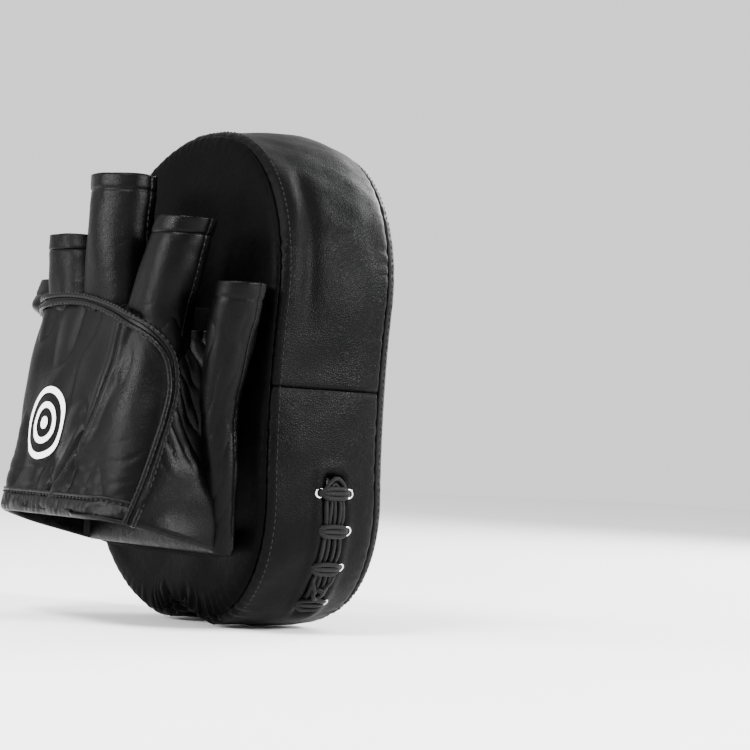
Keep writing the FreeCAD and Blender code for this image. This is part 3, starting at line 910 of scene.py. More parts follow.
    def seams(self) -> None:
        """Stitch rows beside both seams."""
        loop = np.r_[np.arange(self.form.steps), 0]
        rows = []
        for grid, depth in ((self.band_grid, self.back_seam + 3.0), (self.strike_grid, self.face_seam + 3.4)):
            middle = self.form.bowed(0.0, grid[..., 2], np.full(grid.shape[:2], depth))[..., 1]
            row = int(np.argmin(np.abs(grid[:45, :, 1] - middle[:45]).mean(axis=1)))
            way = self.outward(grid)[row]
            rows.append(stitch_row(grid[row][loop] - way[loop] * 0.06, way[loop], 3.4, 0.33))
        thread = mesh_object("pad_thread", *together(rows))
        dress(thread, self.finishes.thread, Body.PAD)

    def fill(self) -> None:
        """The three layers of foam, each closed on itself."""
        for name, low, high, inset in (("rear_foam", 3.2, 17.8, 5.2), ("core_foam", 18.2, 54.8, 3.6),
                                       ("face_foam", 55.2, 73.4, 9.5)):
            corner = spline(np.array([(inset + 4, low), (inset + 0.6, low + 0.8), (inset, low + 4),
                                      (inset, high - 4), (inset + 0.6, high - 0.8), (inset + 4, high)]), 14)
            side = self.form.ring(corner[:, 0], corner[:, 1])
            scales = np.linspace(1, 0, 7)[1:]
            flat = self.form.shrunk(inset + 4, scales)
            foot = self.form.ring_at(flat[::-1], np.full(flat.shape[:2], low))
            head = self.form.ring_at(flat, np.full(flat.shape[:2], high))
            block = grid_object(f"{name}_block", np.concatenate([foot, side, head]), wrap=True)
            dress(block, self.finishes.foam, Body.PAD)
            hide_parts(name)

    def mark(self) -> None:
        """A plain ring target printed on the striking face: two rings and a dot."""
        def lay(radius: Array, angle: Array) -> Array:
            """Places of the print on the finished face, a hair proud of it."""
            return nearest(self.strike_grid, radius * np.cos(angle), 8.0 + radius * np.sin(angle), -0.35)

        parts = [ring_print(inner, outer, lay) for inner, outer in ((0.0, 4.5), (11.0, 15.5), (23.0, 27.5))]
        dress(mesh_object("strike_target", *together(parts)), self.finishes.ink, Body.PAD)

    def build(self) -> None:
        """Makes every piece of the pad."""
        self.gusset()
        self.strike()
        self.mark()
        self.back()
        self.seams()
        self.fill()


# ---------------------------------------------------------------------------------------------------
# The lacing
# ---------------------------------------------------------------------------------------------------


@dataclass
class Lacing:
    """The lace that closes the slit: wraps of three strands through the eyelets, and strands between."""

    form: PadForm
    finishes: Wardrobe
    rows: tuple[float, ...] = (-54.0, -72.0, -90.0, -108.0)
    middle: float = 40.0
    half_gap: float = 8.5
    radius: float = 1.15
    proud: float = 1.3
    sides: int = 9

    def at(self, depth: Array, z: Array, lift: Array) -> Array:
        """Places on the thumb side of the pad: at a depth and a height, lifted off the side band.

        Args:
            depth: How far in front of the back.
            z: The height.
            lift: How far off the side band.

        Returns:
            The places.
        """
        left = np.argsort(self.form.outline[:, 1])
        left = left[self.form.outline[left, 0] < 0]
        heights = self.form.outline[left, 1]
        x = np.interp(z, heights, self.form.outline[left, 0])
        ox = np.interp(z, heights, self.form.out[left, 0])
        oz = np.interp(z, heights, self.form.out[left, 1])
        reach = lift + 1.4
        return self.form.bowed(x + ox * reach, z + oz * reach, depth)

    def out_at(self, z: Array) -> Array:
        """The way out of the side band at a height on the thumb side."""
        point = self.at(np.full_like(z, self.middle), z, np.zeros_like(z))
        return unit(self.at(np.full_like(z, self.middle), z, np.ones_like(z)) - point)

    def strand(self, depth: Array, z: Array, lift: Array, radius: float) -> tuple[Array, Array]:
        """A round strand through a few places on the side band.

        Args:
            depth: The places' depths.
            z: Their heights.
            lift: How far they lie off the band.
            radius: Half the strand's thickness.

        Returns:
            Points and faces.
        """
        knots = self.at(np.asarray(depth, float), np.asarray(z, float), np.asarray(lift, float))
        path = spline(knots, 26)
        heights = path[:, 2]
        return swept(path, round_section(self.sides, radius, radius * 0.92), self.out_at(heights))

    def wrap(self, z: float, seed: int) -> list[tuple[Array, Array]]:
        """Three strands side by side across the slit, diving into the eyelets at both ends.

        Args:
            z: The row's height.
            seed: Chooses how the strands lean.

        Returns:
            Points and faces of each strand.
        """
        rng = np.random.default_rng(SEED + seed)
        strands = []
        for k in (-1, 0, 1):
            low, high = self.middle - self.half_gap, self.middle + self.half_gap
            sway = rng.uniform(-0.5, 0.5, 2)
            high_z, low_z = z + 0.55 * k + sway[0] * 0.4, z + 0.55 * k + sway[1] * 0.4
            middle_z = z + 2.05 * k
            depth = [low - 0.2, low + 0.3, low + 3.6, self.middle, high - 3.6, high - 0.3, high + 0.2]
            height = [low_z, low_z, middle_z, middle_z + 0.3 * k, middle_z, high_z, high_z]
            crest, shoulder = self.proud + 0.9 - 0.25 * abs(k), self.proud + 0.6
            lift = np.array([-3.2, 0.3, shoulder, crest, shoulder, 0.3, -3.2])
            strands.append(self.strand(depth, height, lift, self.radius))
        return strands

    def bundle(self, top: float, foot: float, places: tuple[float, ...], seed: int) -> list[tuple[Array, Array]]:
        """Strands that run down the slit under the wraps, from one row to the next.

        Args:
            top: The upper row's height.
            foot: The lower row's height.
            places: Each strand's place across the slit.
            seed: Chooses how the strands wander.

        Returns:
            Points and faces of each strand.
        """
        rng = np.random.default_rng(SEED + seed)
        strands = []
        for offset in places:
            sway = rng.uniform(-0.35, 0.35, 3)
            depth = self.middle + np.array([offset * 0.75, offset + sway[0], offset + sway[1], offset * 0.8 + sway[2]])
            height = np.linspace(top + 1.5, foot - 1.5, 4)
            lift = np.array([-0.9, 0.9, 0.9, -0.9]) + rng.uniform(-0.15, 0.25, 4)
            strands.append(self.strand(depth, height, lift, self.radius * 0.95))
        return strands

    def build(self) -> None:
        """Makes the lace with its top loop and its knot at the foot."""
        strands = []
        for i, z in enumerate(self.rows):
            strands += self.wrap(z, 40 + i)
        gaps = list(zip(self.rows, self.rows[1:]))
        fans = ((-5.0, -2.6, 0.1, 2.6, 5.0), (-4.9, -1.8, 1.9, 4.8), (-4.4, -1.2, 1.8, 4.4))
        for i, ((top, foot), places) in enumerate(zip(gaps, fans)):
            strands += self.bundle(top, foot, places, 50 + i)
        top, foot = self.rows[0], self.rows[-1]
        turn = np.linspace(0, 2 * np.pi, 9)
        loops = (
            (top, (-5.5, -5.0, 0.5, 5.4, 5.9), (-1.0, 3.0, 7.4, 3.4, -1.0), (1.0, 1.2, 1.5, 1.2, 1.0), 0.9),
            (top, (-3.0, -1.0, 3.5), (0.0, 4.6, 1.5), (0.8, 1.5, 0.8), 0.8),
            (foot, 2.6 * np.cos(turn), 6.0 + 2.1 * np.sin(turn), 2.6 + 0.7 * np.sin(turn * 2), 1.0),
            (foot, (1.5, 3.0, 5.2, 6.4), (6.5, 9.5, 11.0, 14.5), (2.2, 2.4, 1.6, 0.9), 0.9),
            (foot, (-1.5, -3.2, -4.6, -5.0), (6.5, 8.5, 11.0, 13.5), (2.2, 2.2, 1.5, 0.9), 0.9),
        )
        for row, across, up, lift, share in loops:
            strands.append(self.strand(self.middle + np.array(across), row + np.array(up), lift, self.radius * share))
        lace = mesh_object("lace_strands", *together(strands))
        dress(lace, self.finishes.lace, Body.PAD)
        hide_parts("lace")
        self.eyelets()

    def eyelets(self) -> None:
        """Rolled rings: a round rim about each hole, flattened towards the leather, with a barrel inside."""
        a = np.linspace(0, 2 * np.pi, 28, endpoint=False)
        profile = np.array([(1.6, -1.6), (1.65, -0.2), (1.8, 0.4), (2.15, 0.62), (2.5, 0.45), (2.75, 0.0), (2.8, -0.5)])
        for side, offset in (("rear", -self.half_gap), ("front", self.half_gap)):
            for i, z in enumerate(self.rows, start=1):
                centre = self.at(np.array([self.middle + offset]), np.array([z]), np.array([0.0]))[0]
                out = self.out_at(np.array([z]))[0]
                across = np.array([0.0, 1.0, 0.0])
                up = unit(np.cross(out, across))
                ring = np.cos(a)[:, None] * across + np.sin(a)[:, None] * up
                grid = centre + ring[None] * profile[:, None, :1] + out * profile[:, None, 1:]
                rim = grid_object(f"eyelet_ring_{side}_{i}", grid, wrap=True, flip=True)
                dress(rim, self.finishes.nickel, Body.PAD)
                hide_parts(f"eyelet_{side}_{i}")


# ---------------------------------------------------------------------------------------------------
# The glove
# ---------------------------------------------------------------------------------------------------


@dataclass
class HandForm:
    """The hand's shape under the glove: a rounded box across, sloping up towards the cuff.

    A place is found from t, the distance round from the middle of the back of the hand towards the
    thumb, and the height z.
    """

    knuckle_z: float = 33.0
    cuff_z: float = -80.0
    thumb_side: tuple[float, float] = (-60.5, -63.5)
    little_side: tuple[float, float] = (79.5, 75.0)
    height: float = 46.5
    slope: float = 0.2
    corner: float = 30.0

    def at(self, t: Array, z: Array, lift: Array | float = 0.0) -> Array:
        """Places on the form: flat across the back, round a quarter circle, then straight down a side.

        Args:
            t: The distance round, towards the thumb.
            z: The height.
            lift: How far off the form.

        Returns:
            The places.
        """
        t, z = np.broadcast_arrays(np.asarray(t, float), np.asarray(z, float))
        w = np.clip((self.knuckle_z - z) / (self.knuckle_z - self.cuff_z), -0.3, 1.1)
        thumb = self.thumb_side[0] + w * (self.thumb_side[1] - self.thumb_side[0])
        little = self.little_side[0] + w * (self.little_side[1] - self.little_side[0])
        middle, flat = (thumb + little) / 2, (little - thumb) / 2 - self.corner
        top = self.height + self.slope * np.minimum(self.knuckle_z - z, 110)
        far, side = np.abs(t), np.sign(t)
        angle = np.clip((far - flat) / self.corner, 0, np.pi / 2)
        below = np.maximum(far - flat - self.corner * np.pi / 2, 0)
        over = np.minimum(far, flat)
        x = middle - side * (over + self.corner * np.sin(angle))
        y = top - self.corner * (1 - np.cos(angle)) - below
        rise = np.full_like(x, self.slope * 0.9) * np.cos(angle)
        out = np.stack([-side * np.sin(angle), np.cos(angle), rise], axis=-1)
        return np.stack([x, y, z], axis=-1) + unit(out) * np.asarray(lift)[..., None]

    def out(self, t: Array, z: Array) -> Array:
        """The way out of the form."""
        return unit(self.at(t, z, np.ones(np.broadcast(t, z).shape)) - self.at(t, z))


def folds(points: Array, stretch: tuple[float, float, float], length: float, seed: int) -> Array:
    """Drawn leather folds, 0 to 1: soft rises with narrow valleys, longer along some axes than others.

    Args:
        points: Places.
        stretch: How much longer the folds are along x, y and z.
        length: The distance from one fold to the next.
        seed: Chooses the folds.

    Returns:
        The rise at each place.
    """
    wave = ripple(points / np.array(stretch), length, seed)
    return 1 - np.exp(-np.abs(wave) * 1.6)


ARCH = np.array([(68.0, -74.0), (71.0, -58.0), (73.5, -38.0), (75.5, -18.0), (75.0, -5.0), (70.0, 9.0), (59.0, 19.0),
                 (43.0, 25.5), (22.0, 31.0), (-5.0, 35.5), (-34.0, 36.0), (-62.0, 32.0), (-88.0, 22.0), (-108.0, 14.0)])


@dataclass
class Cuff:
    """The glove's hand part: the back, its arched seam, the side towards the thumb, the palm and the hem."""

    hand: HandForm
    finishes: Wardrobe
    leather: float = 1.8
    hem_back: float = -72.0
    hem_palm: float = -87.0
    welt: float = 1.45
    welt_gap: float = 1.9

    def hem_z(self, y: Array) -> Array:
        """The hem's foot, which slants from the back of the hand down to the palm."""
        return self.hem_palm + (self.hem_back - self.hem_palm) * np.clip(y / 66.0, 0, 1)

    def back(self) -> None:
        """The back of the hand: a patch between the arch and the hem, with draped folds and a drawn crease.

        The patch adds the blend of its side edges to the blend of its foot and head, less its corners.
        """
        u, v = np.linspace(0, 1, 190)[None, :, None], np.linspace(0, 1, 110)[:, None, None]
        arch = spline(ARCH, 400)
        leg, head = evened(arch[:190], 110), evened(arch[189:], 190)
        foot_t = np.linspace(arch[0, 0], -112.0, 190)
        foot = np.column_stack([foot_t, np.full(190, arch[0, 1])])
        foot[:, 1] = self.hem_z(self.hand.at(foot[:, 0], foot[:, 1])[:, 1]) + 2.0
        far = np.column_stack([np.linspace(-112.0, arch[-1, 0], 110), np.linspace(foot[-1, 1], arch[-1, 1], 110)])
        leg[0] = foot[0]
        patch = ((1 - u) * leg[:, None] + u * far[:, None] + (1 - v) * foot[None] + v * head[None]
                 - (1 - u) * (1 - v) * foot[0] - u * (1 - v) * foot[-1] - (1 - u) * v * head[0] - u * v * head[-1])
        t, z = patch[..., 0], patch[..., 1]
        base = self.hand.at(t, z)
        inside = smooth(v[..., 0] / 0.12) * smooth((1 - v[..., 0]) / 0.10) * smooth(u[..., 0] / 0.06)
        drape = 2.0 * (folds(base, (1.0, 1.2, 4.5), 24.0, 60) - 0.75) + 0.6 * ripple(base, 34.0, 61)
        fine = 0.7 * (folds(base, (2.6, 2.0, 1.0), 12.0, 63) - 0.8) * smooth((-20.0 - z) / 30.0)
        crease = spline(np.array([(40.0, 26.0), (37.0, 12.0), (33.0, -8.0), (26.0, -28.0), (14.0, -46.0), (0.0, -60.0),
                                  (-8.0, -68.0)]), 60)
        gap = np.linalg.norm(patch[..., None, :] - crease, axis=-1)
        near = gap.min(axis=-1)
        side = np.where(t > np.interp(z, crease[::-1, 1], crease[::-1, 0]), 1.0, -1.0)
        pinch = -1.9 * np.exp(-((near / 1.5) ** 2)) + 1.3 * np.exp(-(((near - 4.2) / 3.0) ** 2)) * (1.2 + 0.5 * side)
        dome = 0.6 * np.sin(np.pi * v[..., 0]) * np.sin(np.pi * u[..., 0])
        lift = (drape + fine + pinch + dome) * inside
        grid = self.hand.at(t, z, lift)
        skin = grid_object("hand_back_skin", grid, flip=True)
        dress(thicken(skin, self.leather), self.finishes.glove, Body.PAD)
        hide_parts("hand_back_panel")
        self.back_grid = grid

    def arch(self) -> None:
        """Two stitched welts along the arch, each a flattened cord pinched at every stitch."""
        line = spline(ARCH, 460)
        middle = self.hand.at(line[:, 0], line[:, 1], 1.5)
        out = self.hand.out(line[:, 0], line[:, 1])
        side = unit(np.cross(tangents(middle), out))
        along = run(middle)
        pinch = 1 - 0.10 * np.abs(np.cos(np.pi * along / 3.3)) ** 6
        section = round_section(9, self.welt, self.welt * 0.85)[None] * pinch[:, None, None]
        welts, rows = [], []
        for k in (-1, 1):
            wander = 0.3 * np.sin(along / 17.0 + k)[:, None]
            path = middle + side * (k * self.welt_gap + wander)
            welts.append(swept(path, section, out))
            rows.append(stitch_row(path + out * self.welt * 0.62 + side * k * 0.75, unit(out + side * k * 0.6),
                                   3.3, 0.45, 0.72))
        strip = swept(middle - out * 0.9, round_section(8, self.welt_gap + 1.2, 0.7), out)
        seam = mesh_object("arch_welts", *together(welts + [strip]))
        dress(seam, self.finishes.welt, Body.PAD)
        dress(mesh_object("arch_thread", *together(rows)), self.finishes.thread, Body.PAD)

    def side(self) -> None:
        """The side towards the thumb: from the arch's leg to the pad, open where the thumb goes through."""
        leg = spline(ARCH[:8], 240)
        leg = leg[leg[:, 1] < 22.0]
        heights = np.linspace(0, 1, 90)
        z = leg[0, 1] + (leg[-1, 1] - leg[0, 1]) * heights
        start = np.interp(z, leg[:, 1], leg[:, 0]) - 0.5
        floor_t = np.interp(z, [-75.0, -36.0, -24.0, -3.0, 22.0], [117.0, 114.0, 98.0, 94.0, 92.0])
        v = np.linspace(0, 1, 60)
        t = start[:, None] + (floor_t - start)[:, None] * v[None]
        z = np.broadcast_to(z[:, None], t.shape)
        hem = self.hem_z(self.hand.at(t, np.full(t.shape, self.hem_palm))[..., 1]) + 2.0
        z = z + (hem - z[:1]) * (1 - heights[:, None]) ** 2
        base = self.hand.at(t, z)
        leant = base @ np.array([[1.0, 0.0, 0.0], [0.0, 0.88, 0.48], [0.0, -0.48, 0.88]])
        drawn = folds(leant, (1.0, 1.0, 4.5), 9.0, 70)
        deep = smooth((z + 54.0) / 22.0)
        edge = smooth(v / 0.1)[None] * smooth((1 - v) / 0.06)[None]
        hollow = -3.5 * deep * np.exp(-(((v[None] - 0.55) / 0.30) ** 2))
        tucked = -9.0 * smooth((z - 1.0) / 18.0)
        lift = (1.3 * (1 - deep) * (ripple(base, 26.0, 71) + 0.4) + deep * 1.5 * (drawn - 0.8) + hollow) * edge + tucked
        skin = grid_object("thumb_side_skin", self.hand.at(t, z, lift))
        skin.data.flip_normals()
        dress(thicken(skin, self.leather), self.finishes.glove, Body.PAD)
        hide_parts("thumb_base_panel", "web_gusset")

    def knuckles(self) -> None:
        """The leather under the roots of the fingers, from the arch forward and down both sides."""
        t = np.linspace(-108.0, 66.0, 200)
        arch = spline(ARCH[5:], 400)[::-1]
        low = np.interp(t, arch[:, 0], arch[:, 1]) - 1.5
        v = np.linspace(0, 1, 26)[:, None]
        z = low[None] + (34.0 - low)[None] * v
        base = self.hand.at(t[None], z)
        lift = -6.0 * smooth(v) + 0.8 * (folds(base, (1.0, 1.0, 2.5), 8.0, 75) - 0.6)
        skin = grid_object("knuckle_skin", self.hand.at(t[None] + 0 * z, z, lift))
        dress(thicken(skin, self.leather), self.finishes.glove, Body.PAD)
        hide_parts("knuckle_panel")

    def round_hand(self, count: int) -> tuple[Array, Array]:
        """The hem's closed line round the mouth, over the back and along the palm, with the way out.

        Args:
            count: How many points the line has.

        Returns:
            The line's points and the way out at each.
        """
        t = np.linspace(-118.0, 118.0, 400)
        over = self.hand.at(t, np.full_like(t, -78.0))
        over[:, 1] = np.maximum(over[:, 1], 3.0)
        across = np.column_stack([np.linspace(over[-1, 0], over[0, 0], 60)[1:-1], np.full(58, 1.6), np.full(58, -78.0)])
        loop = evened(np.vstack([over, across, over[:1]]), count + 1)[:-1]
        loop[:, 2] = self.hem_z(loop[:, 1])
        loop[:, 1] -= 2.4 * smooth((loop[:, 1] - 30.0) / 25.0)
        flat = tangents(loop, True)
        out = unit(np.cross(flat, np.array([0.0, 0.0, 1.0])))
        middle = loop.mean(axis=0)
        out *= np.sign(((loop - middle) * out).sum(axis=1).mean())
        return loop, out

    def hem(self) -> None:
        """The turned hem: a soft band rolled under at its foot, drawn in at its row of stitches."""
        count = 380
        loop, out = self.round_hand(count)
        front = [(-0.6, 11.6), (0.1, 11.2), (-0.1, 9.9), (-0.7, 9.2), (0.3, 8.0), (1.0, 5.4), (1.0, 2.6)]
        under = [(0.3, 0.4), (-1.0, -0.4), (-2.2, 0.6), (-2.7, 3.0), (-2.7, 9.0), (-1.9, 11.4)]
        shape = spline(np.array(front + under), 40)
        grid = loop[None] + out[None] * shape[:, None, :1] + np.array([0, 0, 1.0]) * shape[:, None, 1:]
        steps = np.arange(count) / count
        puckers = sum(np.sin(2 * np.pi * steps * k + k) for k in (61, 83, 97)) / 3
        outer = np.exp(-(((shape[:, 1] - 4.5) / 4.0) ** 2)) * (shape[:, 0] > -0.5)
        lift = outer[:, None] * (0.45 * puckers[None] + 0.7 * ripple(grid, 17.0, 80))
        near_palm = smooth((6.0 - loop[:, 1]) / 4.0)[None]
        grid = grid + out[None] * (lift * (1 - near_palm))[..., None]
        grid[..., 1] = np.where(near_palm > 0.5, np.maximum(grid[..., 1], 0.2), grid[..., 1])
        grid = np.concatenate([grid, grid[:1]])
        band = grid_object("hem_band", grid, wrap=True, flip=True)
        dress(band, self.finishes.binding, Body.PAD)
        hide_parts("cuff_binding")
        last_hidden = int(np.flatnonzero(loop[:, 1] <= 5.0)[-1])
        line, way = (np.roll(rows, -last_hidden - 1, axis=0) for rows in (loop, out))
        keep = line[:, 1] > 5.0
        path = line[keep] - way[keep] * 0.25 + np.array([0, 0, 9.3])
        thread = mesh_object("hem_thread", *stitch_row(path, way[keep], 3.4, 0.45))
        dress(thread, self.finishes.thread, Body.PAD)

    def palm(self) -> None:
        """The palm: lining cloth on the back of the pad, following its bow, with a turned edge."""
        u, v = np.meshgrid(np.linspace(-1, 1, 90), np.linspace(-1, 1, 80), indexing="ij")
        corner = 0.18
        x = 12.5 + 70.5 * u * np.sqrt(1 - corner * v**4 / 2)
        z = -27.5 + 62.5 * v * np.sqrt(1 - corner * u**4 / 2)
        edge = np.maximum(np.abs(u), np.abs(v))
        swell = 1.9 + 0.5 * smooth((1 - edge) / 0.1) * ripple(np.stack([x, 0 * x, z], axis=-1), 26.0, 90)
        y = -BOW + np.sqrt(BOW**2 - z**2) + swell * smooth((1.0 - edge) / 0.015)
        cloth = grid_object("palm_lining", np.stack([x, y, z], axis=-1), flip=True)
        dress(cloth, self.finishes.lining, Body.PAD)
        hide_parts("palm_panel")

    def mark(self) -> None:
        """A plain ring target printed on the back of the hand: two rings and a dot."""
        parts = [ring_print(inner, outer, self.on_back) for inner, outer in ((0.0, 3.2), (7.5, 10.6), (15.2, 18.4))]
        target = mesh_object("back_target", *together(parts))
        dress(target, self.finishes.ink, Body.PAD)

    def on_back(self, radius: Array, angle: Array) -> Array:
        """Where a place of the printed target lies: on the finished back, a hair above it."""
        flat = self.hand.at(-17.0 + radius * np.cos(angle), -27.0 + radius * np.sin(angle))
        return nearest(self.back_grid, flat[..., 0], flat[..., 2], 0.35)

    def build(self) -> None:
        """Makes every piece of the hand part."""
        self.palm()
        self.back()
        self.knuckles()
        self.side()
        self.arch()
        self.hem()
        self.mark()


@dataclass
class Finger:
    """One open finger: a tube from the arch to its hem, with a raised seam down one side.

    Each ring of the tube lies on the spline through the base line, the root ellipse and the tip ellipse.
    """

    body: Body
    root: tuple[float, float, float]
    root_size: tuple[float, float]
    tip: tuple[float, float, float]
    tip_size: tuple[float, float]
    base: tuple[float, float]
    hand: HandForm
    finishes: Wardrobe
    hem: float = 8.0
    leather: float = 1.6
    crumple: float = 1.0
    seam_angle: float = 3.5
    around: int = 84
    rows: int = 120

    def ellipse(self, centre: tuple[float, float, float], size: tuple[float, float], a: Array) -> Array:
        """A level ellipse: cosine and sine, each drawn out a little towards the corners.

        Args:
            centre: The ellipse's middle.
            size: Half its width and half its depth.
            a: Angles round it.

        Returns:
            A place for each angle.
        """
        c, s = np.cos(a), np.sin(a)
        x = np.sign(c) * np.abs(c) ** 0.92 * size[0]
        y = np.sign(s) * np.abs(s) ** 0.92 * size[1]
        return np.stack([centre[0] + x, centre[1] + y, np.full_like(x, centre[2])], axis=-1)

    def base_line(self, a: Array) -> Array:
        """The tube's foot: along the arch on the back of the hand, level on the palm side.

        Args:
            a: Angles round the tube, the first half on the back of the hand.

        Returns:
            A place for each angle.
        """
        arch = spline(ARCH, 400)
        along = run(arch)
        share = np.clip(a / np.pi, 0, 1)
        want = (self.base[0] + (self.base[1] - self.base[0]) * share) * along[-1]
        t, z = (np.interp(want, along, arch[:, k]) for k in range(2))
        back = self.hand.at(t, z, -0.6)
        palm = self.ellipse((self.root[0], self.root[1], 24.0), self.root_size, a)
        ends = self.hand.at(*(np.interp(np.array(self.base) * along[-1], along, arch[:, k]) for k in range(2)), 0.2)
        fade = smooth((a - np.pi - 0.4) / 0.7) * smooth((2 * np.pi - a) / 0.7)
        palm_side = np.where((a < 1.5 * np.pi)[:, None], ends[1], ends[0]) * (1 - fade)[:, None] + palm * fade[:, None]
        return np.where((a <= np.pi)[:, None], back, palm_side)

    def surface(self) -> Array:
        """The tube as rows from the foot to the open end, each row closed round."""
        a = np.linspace(0, 2 * np.pi, self.around, endpoint=False)
        base = self.base_line(a)
        root = self.ellipse(self.root, self.root_size, a)
        tip = self.ellipse(self.tip, self.tip_size, a)
        middle = 0.5 * (root + tip)
        middle[:, :2] = (middle[:, :2] - middle[:, :2].mean(axis=0)) * 1.02 + middle[:, :2].mean(axis=0)
        knots = np.stack([base, 0.45 * base + 0.55 * root, root, middle, tip])
        t = np.linspace(0, 4, self.rows)
        i = np.minimum(t.astype(int), 3)
        f = (t - i)[:, None, None]
        padded = np.concatenate([2 * knots[:1] - knots[1:2], knots, 2 * knots[-1:] - knots[-2:-1]])
        return between(padded[i], padded[i + 1], padded[i + 2], padded[i + 3], f)

    def build(self) -> None:
        """Makes the finger's skin, its hem stitches and its raised seam."""
        name = self.body.value
        grid = self.surface()
        out = ring_normals(grid)
        up = self.tip[2] - grid[..., 2]
        seed = 100 + 10 * list(Body).index(self.body)
        rise = smooth((up - self.hem - 1.0) / 10.0)
        crumple = self.crumple * (folds(grid, (1.3, 1.0, 2.6), 12.0, seed) - 0.7) * smooth((46.0 - grid[..., 2]) / 30.0)
        soft = 0.7 * ripple(grid / np.array([1.0, 1.0, 2.0]), 26.0, seed + 1)
        band = 0.25 * smooth((self.hem - up) / 1.0) - 0.55 * np.exp(-(((up - self.hem + 0.2) / 0.7) ** 2))
        lift = (crumple + soft) * (0.35 + 0.65 * rise) + band + 0.25 * ripple(grid, 14.0, seed + 2) * (1 - rise)
        a = np.linspace(0, 2 * np.pi, self.around, endpoint=False)
        away = np.abs((a - self.seam_angle + np.pi) % (2 * np.pi) - np.pi)
        lift = lift - 0.9 * np.exp(-((away[None] / 0.16) ** 2))
        foot = smooth(np.linspace(0, 1, self.rows) / 0.12)[:, None]
        grid = grid + out * (lift * foot)[..., None]
        skin = grid_object(f"{name}_skin", grid, wrap=True, flip=True)
        thicken(skin, self.leather)
        pieces = [skin]
        skin.data.materials.append(self.finishes.glove)
        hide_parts(f"{name}_stall", f"{name}_hem")
        pieces += self.seam(grid, out) + [self.hem_thread(grid, out, up)]
        for piece in pieces:
            self.join(piece)
            LOG.info("%s: %d points on %s", piece.name, len(piece.data.vertices), name)

    def join(self, piece: bpy.types.Object) -> None:
        """Bakes the piece's place into its points.

        Args:
            piece: The piece.
        """
        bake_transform(piece)

    def seam(self, grid: Array, out: Array) -> list[bpy.types.Object]:
        """The raised seam down the thumb side of the finger, a glossy cord with its stitches.

        Args:
            grid: The finger's skin.
            out: The way out of it at each place.

        Returns:
            The cord and its thread.
        """
        column = round(self.around * self.seam_angle / (2 * math.pi))
        path = evened(grid[2:, column] + out[2:, column] * 0.5, 170)
        way = unit(evened(out[2:, column], 170))
        along = run(path)
        pinch = 1 - 0.12 * np.abs(np.cos(np.pi * along / 3.4)) ** 6
        section = round_section(9, 1.35, 1.8)[None] * pinch[:, None, None]
        cord = mesh_object(f"{self.body.value}_seam", *swept(path, section, way))
        cord.data.materials.append(self.finishes.welt)
        side = unit(np.cross(tangents(path), way))
        rows = [stitch_row(path + side * k * 1.6 + way * 0.2, unit(side * k + way), 3.4, 0.4) for k in (-1, 1)]
        thread = mesh_object(f"{self.body.value}_seam_thread", *together(rows))
        thread.data.materials.append(self.finishes.thread)
        return [cord, thread]

    def hem_thread(self, grid: Array, out: Array, up: Array) -> bpy.types.Object:
        """The row of stitches round the hem.

        Args:
            grid: The finger's skin.
            out: The way out of it.
            up: How far below the open end each place is.

        Returns:
            The thread.
        """
        row = int(np.argmin(np.abs(up[:, 0] - self.hem + 0.9)))
        loop = np.r_[np.arange(self.around), 0]
        path, way = grid[row][loop] + out[row][loop] * 0.25, out[row][loop]
        fine = evened(path, 260)
        thread = mesh_object(f"{self.body.value}_hem_thread", *stitch_row(fine, unit(evened(way, 260)), 3.2, 0.4))
        thread.data.materials.append(self.finishes.thread)
        return thread


@dataclass
class Thumb(Finger):
    """The thumb: a leaf-shaped tube that narrows to a point at the hem of the cuff."""

    centres: tuple[tuple[float, float, float], ...] = (
        (-63.5, 5.6, -86.0), (-66.0, 8.2, -70.0), (-67.5, 11.0, -50.0), (-68.0, 13.0, -28.0), (-69.5, 14.4, -4.0),
        (-74.5, 14.4, 20.0), (-81.5, 14.0, 45.0))
    sizes: tuple[tuple[float, float], ...] = (
        (3.0, 3.8), (6.6, 6.8), (9.6, 9.0), (11.6, 10.2), (12.2, 11.2), (11.6, 10.8), (10.8, 9.9))

    def surface(self) -> Array:
        """The tube as rows from the point at the cuff to the open end."""
        a = np.linspace(0, 2 * np.pi, self.around, endpoint=False)
        centres = spline(np.array(self.centres), self.rows)
        sizes = spline(np.array(self.sizes), self.rows)
        c, s = np.cos(a), np.sin(a)
        across = np.array([0.64, 0.77, 0.0])
        deep = np.array([-0.77, 0.64, 0.0])
        x = (np.sign(c) * np.abs(c) ** 0.9)[None, :, None] * sizes[:, None, 1:] * across
        y = (np.sign(s) * np.abs(s) ** 1.05)[None, :, None] * sizes[:, None, :1] * deep * 0.86
        return centres[:, None] + x + y

    def join(self, piece: bpy.types.Object) -> None:
        """Bakes the piece's place into its points."""
        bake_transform(piece)


